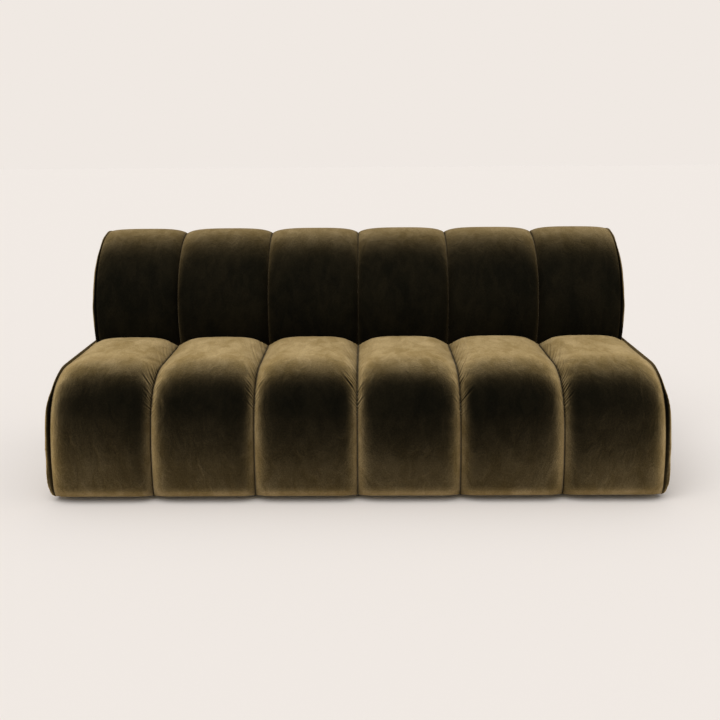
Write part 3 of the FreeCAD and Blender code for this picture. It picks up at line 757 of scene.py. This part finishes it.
def make_panel(name, kind, lengths, to_space, layers, tip, lines, gather_rows):
    """One padded panel, filled and gathered, from its layers."""
    cloth = bpy.context.scene.sofa_cloth
    points = np.stack([to_space(ring, height) for ring, height in layers], axis=1)
    rows, columns = points.shape[:2]
    distance = np.concatenate([[0.0], np.cumsum(np.linalg.norm(np.diff(points[0], axis=0), axis=1))])
    reach = distance - distance[3]
    base = to_space(np.array([tip[0]]), layers[0][1])
    crown = to_space(np.array([tip[0]]), tip[1])
    points = points + panel_shift(name, points, base, crown)
    normals = grid_normals(points, True)
    if np.einsum("ijk,k->", normals[:, columns // 2:], (crown - base)[0]) < 0.0:
        normals = -normals
    field = gather_field(lengths, reach, lines, gather_rows)
    points = points - cloth.gather_depth * field[:, :, None] * normals
    quads, fans = panel_faces(rows, columns)
    # Painted shade at the tucked rim of the panel and in the hollows of the gathers, and painted highlight on their
    # ridges
    shade = 1.0 - 0.7 * np.exp(-np.maximum(distance - distance[2], 0.0) / 0.0015)
    shade = np.clip(shade[None, :] * (1.0 - 0.5 * np.clip(field, -0.35, 1.0)), 0.05, 1.3)
    return make_mesh(name, np.vstack([points.reshape(-1, 3), base, crown]), quads, fans,
                     bpy.data.materials["olive velvet, " + kind], shade)


def panel_shift(name, points, base, crown):
    """How far the points of a panel move when it is filled, from a coarser copy of it."""
    rows, columns = points.shape[:2]
    row_picks = np.arange(0, rows, 4)
    column_picks = np.concatenate([[0, 2, 4, 7], np.arange(9, columns - 1, 3), [columns - 1]])
    coarse = points[row_picks][:, column_picks]
    every = np.vstack([coarse.reshape(-1, 3), base, crown])
    held = np.zeros((len(every), 1), bool)
    held[:-2, 0] = np.broadcast_to(np.arange(len(column_picks)) < 3, coarse.shape[:2]).ravel()
    held[-2] = True
    quads, fans = panel_faces(*coarse.shape[:2])
    shift = settled(name + "_filling", every[:, None, :], quads, fans, held)[:-2, 0].reshape(coarse.shape)
    shift = steadied(shift, 2, True)
    along = wrapped_weights(row_picks, rows)
    across = smooth_weights(column_picks.astype(float), np.arange(columns))
    return np.einsum("ij,jkc,lk->ilc", along, shift, across)


def seat_end_outline(sizes, lip):
    """Outline of a seat end panel as depths and heights."""
    bends = seat_bends(sizes)
    grown = [Bend(bend.depth, bend.height, bend.radius + lip, bend.start, bend.end).samples()[:, :2]
             for bend in bends]
    rear, low, top = BASE_COVER_HIGH.y - front_seam_y(), sizes.hem_height, sizes.seam_height + lip
    front_low = grown[0][0]
    corner = round_corner((0.5, top), (rear, top), (rear, 0.2), 0.03)
    rear_corner = round_corner((rear, 0.2), (rear, low), (0.5, low), 0.02)
    tuck = round_corner((0.5, low), (front_low[0] + 0.004, low), front_low, 0.03)
    return np.vstack(grown + [corner, rear_corner, tuck])


def back_end_outline(sizes, lip):
    """Outline of a back end panel as depths and heights."""
    curve, roll = back_bends(sizes)
    foot = sizes.seam_height + 0.001
    start = -math.asin((curve.height - foot) / (curve.radius + lip))
    face = Bend(curve.depth, curve.height, curve.radius + lip, start, curve.end).samples()[:, :2]
    over = Bend(roll.depth, roll.height, roll.radius + lip, roll.start, math.radians(108.0)).samples()[:, :2]
    rear = OUTER_COVER_HIGH.y - front_seam_y() + 0.001
    top = over[-1]
    lower = top[1] - (rear - top[0]) * math.tan(math.radians(18.0))
    down = round_corner(top, (rear, lower), (rear, 0.6), 0.9 * math.dist(top, (rear, lower)))
    corner = round_corner((rear, 0.6), (rear, foot), (face[0][0] + 0.1, foot), 0.012)
    tuck = round_corner((rear, foot), face[0], face[14], 0.012)
    return np.vstack([face[14:], over, down, corner, tuck])


class SOFA_OT_end_panels(bpy.types.Operator):
    """Makes the padded end panels of the seat and the back"""
    bl_idname = "sofa.end_panels"
    bl_label = "End panels"

    def execute(self, context):
        sizes, cloth = context.scene.sofa_sizes, context.scene.sofa_cloth
        top, hem, crest = sizes.seam_height, sizes.hem_height, sizes.back_crest
        seat_pad, back_pad = round(sizes.seat_pad, 6), round(sizes.back_pad, 6)
        # Outline, half width, thickness, rounding of the rim, dome, share of the outline that gathers most, and
        # where the panel is pulled thin: height, thinnest share of its thickness, and height over which it eases
        kinds = (("seat", seat_end_outline(sizes, sizes.seat_pad_lip), -SEAT_END_LOW.x, seat_pad, 0.008, 0.004,
                  0.35, ((hem, 0.25, 0.06), (top - 0.01, 0.12, -0.13))),
                 ("back", back_end_outline(sizes, sizes.back_pad_lip), -BACK_END_LOW.x, back_pad, 0.007, 0.003,
                  0.5, ((crest - 0.005, 0.5, -0.12),)))
        for kind, corners, half_width, thickness, edge, dome, gathered, pulled in kinds:
            for side_name, side in (("left", -1.0), ("right", 1.0)):
                random = np.random.default_rng([cloth.seed, len(kind), int(side) + 5])
                outline, lengths = even_outline(corners, 0.005)
                layers, tip = panel_rings(outline, thickness, edge, dome, 0.004, 26)

                def to_space(ring, out):
                    share = np.ones(len(ring))
                    for height, thinnest, run in pulled if out > 0.0 else ():
                        share *= thinnest + (1.0 - thinnest) * eased((ring[:, 1] - height) / run)
                    return np.column_stack([side * (half_width + PANEL_GAP + out * share),
                                            front_seam_y() + ring[:, 0], ring[:, 1]])

                lines = GatherLines(lengths[-1], lambda places: np.full(len(places), 0.3), PANEL_GATHERS)
                rows = gathers(random, lines.places(random, lengths[-1]),
                               lambda place: 0.45 if place < gathered * lengths[-1] else 0.12, lambda place: 0.024)
                piece = make_panel("%s_end_velvet_%s" % (kind, side_name), kind, lengths, to_space, layers, tip,
                                   lines, rows)
                finish_piece(piece, ["%s_end_pad_%s" % (kind, side_name)])
        return {"FINISHED"}


class SOFA_OT_end_ledges(bpy.types.Operator):
    """Makes the narrow velvet ledges beside the back"""
    bl_idname = "sofa.end_ledges"
    bl_label = "End ledges"

    def execute(self, context):
        sizes = context.scene.sofa_sizes
        low, high = SEAT_HIGH.y, BASE_COVER_HIGH.y - 0.008
        inner, outer = -BACK_END_LOW.x + 0.0005, -SEAT_END_LOW.x + 0.0002
        for side_name, side in (("left", -1.0), ("right", 1.0)):
            y = np.linspace(low, high, int((high - low) / 0.006))
            across = np.linspace(0.0, 1.0, 9)
            arch = 0.004 * np.sin(math.pi * across) ** 0.7
            x = np.concatenate([[inner], inner + (outer - inner) * across, [outer]])
            z = np.concatenate([[-0.012], arch, [-0.012]]) + sizes.seam_height
            points = np.stack(np.broadcast_arrays(side * x, y[:, None], z), axis=2)
            quads, tips = channel_faces(len(y), len(x))
            piece = make_mesh("seat_ledge_velvet_" + side_name, points, quads, tips,
                              bpy.data.materials["olive velvet, seat"])
            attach(piece, "root")
        return {"FINISHED"}


class SOFA_OT_rear_covers(bpy.types.Operator):
    """Makes the padded velvet covers of the rear"""
    bl_idname = "sofa.rear_covers"
    bl_label = "Rear covers"

    def execute(self, context):
        cloth = context.scene.sofa_cloth
        kinds = (("back_outer", OUTER_COVER_LOW, OUTER_COVER_HIGH, "back_outer_cover"),
                 ("base_rear", BASE_COVER_LOW, BASE_COVER_HIGH, "base_rear_cover"))
        for kind, low, high, node in kinds:
            random = np.random.default_rng([cloth.seed, len(kind)])
            corners = [(low.x, low.z), (high.x, low.z), (high.x, high.z), (low.x, high.z)]
            ring = np.vstack([round_corner(corners[number - 1], corners[number], corners[(number + 1) % 4], 0.012)
                              for number in range(4)])
            outline, lengths = even_outline(ring, 0.008)
            layers, tip = panel_rings(outline, high.y - low.y, 0.009, 0.004, 0.002, 24)

            def to_space(ring, out):
                return np.column_stack([ring[:, 0], np.full(len(ring), low.y + PANEL_GAP + out), ring[:, 1]])

            lines = GatherLines(lengths[-1], lambda places: np.full(len(places), 0.2), 0.02)
            rows = gathers(random, lines.places(random, lengths[-1]), lambda place: 0.25, lambda place: 0.04)
            piece = make_panel(kind + "_velvet", "back", lengths, to_space, layers, tip, lines, rows)
            finish_piece(piece, [node])
        return {"FINISHED"}


# Repeated small things

def add(tree, kind, inputs=None, **settings):
    """A new node with its settings. Each named input gets a value, or a link from a socket."""
    node = tree.nodes.new(kind)
    for label, value in settings.items():
        setattr(node, label, value)
    for label, value in (inputs or {}).items():
        if isinstance(value, bpy.types.NodeSocket):
            tree.links.new(value, node.inputs[label])
        else:
            node.inputs[label].default_value = value
    return node


def bar_tree(name):
    """Geometry nodes that lay short bars along a path, at an even spacing."""
    tree = bpy.data.node_groups.new(name, "GeometryNodeTree")
    for label, kind, way in (("Path", "Geometry", "INPUT"), ("Spacing", "Float", "INPUT"),
                             ("Length", "Float", "INPUT"), ("Thickness", "Float", "INPUT"),
                             ("Turn", "Float", "INPUT"), ("Finish", "Material", "INPUT"),
                             ("Bars", "Geometry", "OUTPUT")):
        tree.interface.new_socket(label, in_out=way, socket_type="NodeSocket" + kind)
    given = add(tree, "NodeGroupInput").outputs
    curve = add(tree, "GeometryNodeMeshToCurve", {"Mesh": given["Path"]})
    even = add(tree, "GeometryNodeResampleCurve", {"Curve": curve.outputs["Curve"], "Length": given["Spacing"]},
               mode="LENGTH")
    points = add(tree, "GeometryNodeCurveToPoints", {"Curve": even.outputs["Curve"]}, mode="EVALUATED").outputs
    align = add(tree, "FunctionNodeAlignRotationToVector", {"Vector": points["Tangent"]}, axis="Z")
    turn = add(tree, "FunctionNodeAxisAngleToRotation", {"Axis": (0.0, 1.0, 0.0), "Angle": given["Turn"]})
    turned = add(tree, "FunctionNodeRotateRotation",
                 {"Rotation": align.outputs["Rotation"], "Rotate By": turn.outputs["Rotation"]},
                 rotation_space="LOCAL")
    size = add(tree, "ShaderNodeCombineXYZ",
               {"X": given["Thickness"], "Y": given["Thickness"], "Z": given["Length"]})
    bar = add(tree, "GeometryNodeMeshCylinder", {"Vertices": 6, "Radius": 1.0, "Depth": 1.0})
    bars = add(tree, "GeometryNodeInstanceOnPoints",
               {"Points": points["Points"], "Instance": bar.outputs["Mesh"], "Rotation": turned.outputs["Rotation"],
                "Scale": size.outputs["Vector"]})
    real = add(tree, "GeometryNodeRealizeInstances", {"Geometry": bars.outputs["Instances"]})
    smooth = add(tree, "GeometryNodeSetShadeSmooth", {"Geometry": real.outputs["Geometry"]})
    done = add(tree, "GeometryNodeSetMaterial",
               {"Geometry": smooth.outputs["Geometry"], "Material": given["Finish"]})
    add(tree, "NodeGroupOutput", {"Bars": done.outputs["Geometry"]})
    return tree


def repeated(name, path, values):
    """A plain mesh of the bars that geometry nodes lay along an open path."""
    mesh = bpy.data.meshes.new(name + "_path")
    mesh.from_pydata(path, [(number, number + 1) for number in range(len(path) - 1)], [])
    carrier = placed(name + "_path", mesh)
    modifier = carrier.modifiers.new("bars", "NODES")
    modifier.node_group = bar_tree(name + " bars")
    for item in modifier.node_group.interface.items_tree:
        if item.in_out == "INPUT" and item.name in values:
            modifier[item.identifier] = values[item.name]
    carrier.update_tag()
    baked = bpy.data.meshes.new_from_object(carrier.evaluated_get(bpy.context.evaluated_depsgraph_get()))
    bpy.data.objects.remove(carrier)
    bpy.data.meshes.remove(mesh)
    baked.name = name
    return placed(name, baked)


class SOFA_OT_hand_stitches(bpy.types.Operator):
    """Makes the hand stitches round the rear cover"""
    bl_idname = "sofa.hand_stitches"
    bl_label = "Hand stitches"

    def execute(self, context):
        sizes = context.scene.sofa_sizes
        low, high = OUTER_COVER_LOW, OUTER_COVER_HIGH
        y, inset = high.y - 0.006, 0.0012
        half = [(low.x - inset, y, low.z + 0.02), (low.x - inset, y, high.z - 0.01),
                (low.x + 0.01, y, high.z + inset)]
        path = half + [(high.x - 0.01, y, high.z + inset), (high.x + inset, y, high.z - 0.01),
                       (high.x + inset, y, low.z + 0.02)]
        piece = repeated("rear_hand_stitches", path,
                         {"Spacing": sizes.stitch_spacing, "Length": 0.0042, "Thickness": 0.0005, "Turn": 0.5,
                          "Finish": bpy.data.materials["sewing thread"]})
        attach(piece, "root")
        return {"FINISHED"}


class SOFA_OT_underside(bpy.types.Operator):
    """Staples the dust cover"""
    bl_idname = "sofa.underside"
    bl_label = "Underside"

    def execute(self, context):
        sizes = context.scene.sofa_sizes
        low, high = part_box("dust_cover")
        inset, z = 0.012, low.z - 0.0004
        left, right, front, rear = low.x + inset, high.x - inset, low.y + inset, high.y - inset
        path = [(left, front, z), (right, front, z), (right, rear, z), (left, rear, z), (left, front, z)]
        piece = repeated("dust_cover_staples", path,
                         {"Spacing": sizes.staple_spacing, "Length": 0.010, "Thickness": 0.0006, "Turn": 0.15,
                          "Finish": bpy.data.materials["zinc steel"]})
        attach(piece, "root")
        return {"FINISHED"}


# Finishes

BLACK, WHITE = (0.0, 0.0, 0.0, 1.0), (1.0, 1.0, 1.0, 1.0)
OUTPUT_KINDS = {"Color": "Color", "Sheen": "Color", "Roughness": "Float", "Normal": "Vector"}


def scaled(colour, share=1.0):
    """An opaque colour, made lighter or darker where asked."""
    return (*(share * part for part in colour[:3]), 1.0)


def shader(material, values):
    """The shader inputs of a new node material, with some values set."""
    material.use_nodes = True
    inputs = material.node_tree.nodes["Principled BSDF"].inputs
    for label, value in values.items():
        inputs[label].default_value = value
    return inputs


def shader_group(name, inputs, outputs):
    """A new shader group with named sockets, what it is given and what it puts out."""
    group = bpy.data.node_groups.new(name, "ShaderNodeTree")
    for label, value in inputs.items():
        kind = "NodeSocketColor" if isinstance(value, tuple) else "NodeSocketFloat"
        group.interface.new_socket(label, in_out="INPUT", socket_type=kind).default_value = value
    for label in outputs:
        group.interface.new_socket(label, in_out="OUTPUT", socket_type="NodeSocket" + OUTPUT_KINDS[label])
    return group, add(group, "NodeGroupInput").outputs, add(group, "NodeGroupOutput").inputs


def maths(tree, operation, *values):
    """The result of a sum on sockets and numbers."""
    return add(tree, "ShaderNodeMath", dict(enumerate(values)), operation=operation).outputs["Value"]


def mix_colours(tree, factor, first, second):
    """A mix of two colour sockets."""
    return add(tree, "ShaderNodeMix", {"Factor": factor, "A": first, "B": second}, data_type="RGBA").outputs["Result"]


def noise(tree, vector, scale, detail, stretch=None, distortion=0.0):
    """A noise texture, stretched if asked."""
    if stretch:
        vector = add(tree, "ShaderNodeMapping", {"Vector": vector, "Scale": stretch}).outputs["Vector"]
    return add(tree, "ShaderNodeTexNoise", {"Vector": vector, "Scale": scale, "Detail": detail,
                                            "Distortion": distortion}).outputs["Fac"]


def ramp(tree, value, low, high, out_low=0.0, out_high=1.0):
    """A value stretched between two limits."""
    return add(tree, "ShaderNodeMapRange", {"Value": value, "From Min": low, "From Max": high, "To Min": out_low,
                                            "To Max": out_high}, interpolation_type="SMOOTHSTEP").outputs["Result"]


def bump(tree, height, strength, distance, **under):
    """A bump, over another one where asked."""
    return add(tree, "ShaderNodeBump", {"Height": height, "Strength": strength, "Distance": distance,
                                        **under}).outputs["Normal"]


def velvet_group():
    """Nap of velvet: soft patches where the pile lies differently, and a fine grain. Both colours are also darkened or
    lightened by the painted shade and highlight that each piece keeps in its shade attribute.
    """
    group, given, results = shader_group(
        "Velvet nap and painted shade", {"Pile": BLACK, "Brushed pile": BLACK, "Sheen": WHITE, "Brushed sheen": WHITE,
                       "Patch scale": 9.0, "Grain scale": 900.0}, ("Color", "Sheen", "Roughness", "Normal"))
    shade = add(group, "ShaderNodeAttribute", attribute_name="shade").outputs["Fac"]
    place = add(group, "ShaderNodeTexCoord").outputs["Object"]
    patches = noise(group, place, given["Patch scale"], 4.0, (1.0, 0.6, 0.6))
    smudges = noise(group, place, 30.0, 6.0, (1.0, 0.5, 0.5), 0.6)
    grain = noise(group, place, given["Grain scale"], 2.0)
    fibres = noise(group, place, 210.0, 3.0)
    worn = maths(group, "MULTIPLY_ADD", ramp(group, smudges, 0.35, 0.68), 0.5,
                 ramp(group, patches, 0.38, 0.66, 0.0, 0.5))
    light = maths(group, "MULTIPLY", shade, ramp(group, fibres, 0.3, 0.7, 0.84, 1.16))
    for label, first, second in (("Color", "Pile", "Brushed pile"), ("Sheen", "Sheen", "Brushed sheen")):
        lit = add(group, "ShaderNodeVectorMath",
                  {0: mix_colours(group, worn, given[first], given[second]), "Scale": light}, operation="SCALE")
        group.links.new(lit.outputs["Vector"], results[label])
    group.links.new(ramp(group, patches, 0.3, 0.7, 0.9, 0.78), results["Roughness"])
    fine = bump(group, grain, 0.5, 0.0006)
    group.links.new(bump(group, smudges, 0.6, 0.003, Normal=fine), results["Normal"])
    return group


def brighten_edges(material, nap, nap_lean, sheen_power):
    """Lets the sheen take over where the pile is seen from its side. The pile leans towards the floor."""
    tree = material.node_tree
    lean = add(tree, "ShaderNodeVectorMath", {0: nap["Normal"], 1: (0.0, 0.0, -nap_lean)}, operation="ADD")
    level = add(tree, "ShaderNodeVectorMath", {0: lean.outputs["Vector"]}, operation="NORMALIZE")
    facing = add(tree, "ShaderNodeLayerWeight", {"Blend": 0.5, "Normal": level.outputs["Vector"]})
    side_on = maths(tree, "POWER", ramp(tree, facing.outputs["Facing"], 0.0, 0.82), sheen_power)
    colour = mix_colours(tree, side_on, nap["Color"], nap["Sheen"])
    tree.links.new(colour, tree.nodes["Principled BSDF"].inputs["Base Color"])


def use_group(material, inputs, group, values):
    """Places a shader group in a material with its own values. Returns what it puts out."""
    results = add(material.node_tree, "ShaderNodeGroup", values, node_tree=group).outputs
    for label, target in (("Color", "Base Color"), ("Roughness", "Roughness"), ("Normal", "Normal")):
        material.node_tree.links.new(results[label], inputs[target])
    return results


def grain_group(name, stretch, scale, distance):
    """A stretched grain between two colours, with bump, for timber, board and cloth."""
    group, given, results = shader_group(name, {"Light": WHITE, "Dark": BLACK, "Rough": 0.7},
                                         ("Color", "Roughness", "Normal"))
    place = add(group, "ShaderNodeTexCoord").outputs["Object"]
    broad = noise(group, place, scale, 5.0, stretch)
    fine = noise(group, place, scale * 6.0, 3.0, stretch)
    streaks = maths(group, "MULTIPLY_ADD", fine, 0.35, ramp(group, broad, 0.3, 0.7, 0.0, 0.65))
    for label, value in (("Color", mix_colours(group, streaks, given["Light"], given["Dark"])),
                         ("Roughness", maths(group, "MULTIPLY_ADD", fine, 0.15, given["Rough"])),
                         ("Normal", bump(group, streaks, 0.4, distance))):
        group.links.new(value, results[label])
    return group


class SOFA_OT_finishes(bpy.types.Operator):
    """Makes every finish, and puts the hidden frame's finishes on it"""
    bl_idname = "sofa.finishes"
    bl_label = "Finishes"

    def execute(self, context):
        colours = context.scene.sofa_colours
        nap_effect = velvet_group()
        # Part, lean of the nap, power of the sheen, and how bright the sheen and the pile are. Seat and back are one
        # velvet: each part's own brightness of sheen and pile is painted light, set for how the light falls on it
        for part, nap_lean, sheen_power, painted_sheen_share, depth in (("seat", 0.31, 1.2, 0.82, 1.0), ("back", 0.0, 2.4, 0.5, 1.3)):
            velvet = bpy.data.materials.new("olive velvet, " + part)
            inputs = shader(velvet, {"Sheen Weight": 0.5, "Sheen Roughness": 0.28, "Sheen Tint": colours.tint,
                                     "Specular IOR Level": 0.0})
            nap = use_group(velvet, inputs, nap_effect,
                            {"Pile": scaled(colours.pile, depth), "Brushed pile": scaled(colours.worn, depth),
                             "Sheen": scaled(colours.sheen, painted_sheen_share),
                             "Brushed sheen": scaled(colours.worn_sheen, painted_sheen_share)})
            brighten_edges(velvet, nap, nap_lean, sheen_power)
        wood = grain_group("Wood grain", (1.2, 22.0, 22.0), 3.0, 0.0006)
        foam = grain_group("Foam cells", (1.0, 1.0, 1.0), 240.0, 0.0012)
        weave = grain_group("Woven cloth", (1.0, 1.0, 1.0), 420.0, 0.0005)
        # Finish, slot, grain, light colour, dark colour, roughness and specular level
        finishes = (
            ("beech plywood", "plywood", wood, (0.68, 0.50, 0.30), (0.50, 0.34, 0.18), 0.6, 0.3),
            ("sawn timber", "timber", wood, (0.74, 0.58, 0.36), (0.55, 0.38, 0.20), 0.62, 0.3),
            ("liner board", "liner_board", weave, (0.36, 0.25, 0.15), (0.25, 0.17, 0.10), 0.75, 0.2),
            ("cushion foam", "foam", foam, (0.82, 0.76, 0.55), (0.66, 0.58, 0.38), 0.85, 0.1),
            ("strap webbing", "webbing", weave, (0.09, 0.09, 0.09), (0.03, 0.03, 0.03), 0.8, 0.1),
            ("dust cloth", "dust_cloth", weave, (0.035, 0.035, 0.036), (0.012, 0.012, 0.013), 0.85, 0.1),
            ("glide plastic", "glide_plastic", foam, (0.035, 0.035, 0.036), (0.020, 0.020, 0.020), 0.4, 0.5),
            ("zinc steel", "bolt_steel", foam, (0.60, 0.60, 0.62), (0.45, 0.45, 0.47), 0.3, 0.5),
            ("sewing thread", None, weave, (0.030, 0.024, 0.013), (0.015, 0.012, 0.007), 0.6, 0.2))
        for name, slot, group, light, dark, rough, specular in finishes:
            material = bpy.data.materials.new(name)
            inputs = shader(material, {"Specular IOR Level": specular,
                                       "Metallic": 1.0 if slot == "bolt_steel" else 0.0})
            use_group(material, inputs, group, {"Light": scaled(light), "Dark": scaled(dark), "Rough": rough})
            for entry in frame["record"]["subparts"]:
                if entry["material_slot"] == slot:
                    piece = frame["nodes"][entry["node"]]
                    for place in piece.material_slots:
                        place.material = material
                    if not piece.material_slots:
                        piece.data.materials.append(material)
        return {"FINISHED"}


# Studio

def sun(name, strength, angle, x, y, z):
    """A soft sun that shines along a direction."""
    lamp = bpy.data.lights.new(name, "SUN")
    lamp.energy = strength
    lamp.angle = math.radians(angle)
    tilt = math.acos(-z / math.sqrt(x * x + y * y + z * z))
    placed(name, lamp).rotation_euler = (tilt, 0.0, math.atan2(y, x) - math.pi / 2.0)


class SOFA_OT_studio(bpy.types.Operator):
    """Makes the floor, the light and the camera"""
    bl_idname = "sofa.studio"
    bl_label = "Studio"

    def execute(self, context):
        scene, studio, colours = context.scene, context.scene.sofa_studio, context.scene.sofa_colours
        scene.view_settings.view_transform = "Standard"
        bpy.ops.mesh.primitive_plane_add(size=60.0)
        floor = context.object
        floor.name = "studio_floor"
        paint = bpy.data.materials.new("floor paint")
        shader(paint, {"Roughness": 0.9, "Specular IOR Level": 0.0, "Base Color": colours.floor})
        floor.data.materials.append(paint)
        scene.world = scene.world or bpy.data.worlds.new("studio")
        scene.world.use_nodes = True
        tree = scene.world.node_tree
        light = tree.nodes["Background"]
        light.inputs["Color"].default_value = WHITE
        light.inputs["Strength"].default_value = 0.45
        seen = add(tree, "ShaderNodeBackground", {"Color": colours.floor})
        from_camera = add(tree, "ShaderNodeLightPath").outputs["Is Camera Ray"]
        mix = add(tree, "ShaderNodeMixShader",
                  {"Fac": from_camera, 1: light.outputs["Background"], 2: seen.outputs["Background"]})
        tree.links.new(mix.outputs["Shader"], tree.nodes["World Output"].inputs["Surface"])
        sun("key_sun", 1.5, 60.0, 0.25, 0.55, -1.0)
        sun("top_sun", 0.5, 90.0, -0.1, -0.2, -1.0)

        camera = bpy.data.cameras.new("camera")
        camera.lens = studio.lens
        camera.sensor_width = 36.0
        camera.sensor_fit = "HORIZONTAL"
        eye = placed("camera", camera)
        ahead = np.array([math.sin(studio.yaw) * math.cos(studio.pitch), math.cos(studio.yaw) * math.cos(studio.pitch),
                          -math.sin(studio.pitch)])
        right = np.array([math.cos(studio.yaw), -math.sin(studio.yaw), 0.0])
        up = np.cross(right, ahead)
        rolled_right = right * math.cos(studio.roll) + up * math.sin(studio.roll)
        rolled_up = -right * math.sin(studio.roll) + up * math.cos(studio.roll)
        place = Matrix(np.column_stack([rolled_right, rolled_up, -ahead]).tolist()).to_4x4()
        place.translation = (studio.across, front_seam_y() - studio.distance, studio.height)
        eye.matrix_world = place
        scene.camera = eye
        return {"FINISHED"}


PIECES = (SOFA_OT_finishes, SOFA_OT_seat_channels, SOFA_OT_back_channels, SOFA_OT_end_panels, SOFA_OT_end_ledges,
          SOFA_OT_rear_covers, SOFA_OT_hand_stitches, SOFA_OT_underside, SOFA_OT_studio)


class SOFA_PT_panel(bpy.types.Panel):
    """Lists the sizes, the colours and the steps"""
    bl_idname = "SOFA_PT_panel"
    bl_label = "Sofa"
    bl_space_type = "VIEW_3D"
    bl_region_type = "UI"
    bl_category = "Sofa"

    def draw(self, context):
        for name, kind in GROUPS:
            box = self.layout.box()
            for label in kind.__annotations__:
                box.prop(getattr(context.scene, name), label)
        for operator in PIECES:
            self.layout.operator(operator.bl_idname)


GROUPS = (("sofa_sizes", SofaSizes), ("sofa_cloth", SofaCloth), ("sofa_colours", SofaColours),
          ("sofa_studio", SofaStudio))


def register():
    """Adds the classes and their values to Blender."""
    for label, group in GROUPS:
        bpy.utils.register_class(group)
        setattr(bpy.types.Scene, label, PointerProperty(type=group))
    for operator in PIECES:
        bpy.utils.register_class(operator)
    bpy.utils.register_class(SOFA_PT_panel)


def unregister():
    """Takes the classes and their values out of Blender."""
    bpy.utils.unregister_class(SOFA_PT_panel)
    for operator in reversed(PIECES):
        bpy.utils.unregister_class(operator)
    for label, group in reversed(GROUPS):
        delattr(bpy.types.Scene, label)
        bpy.utils.unregister_class(group)


def main():
    """Makes the whole sofa and its studio."""
    register()
    for operator in PIECES:
        name = operator.bl_idname.split(".")[1]
        getattr(bpy.ops.sofa, name)()


if __name__ == "__main__":
    main()
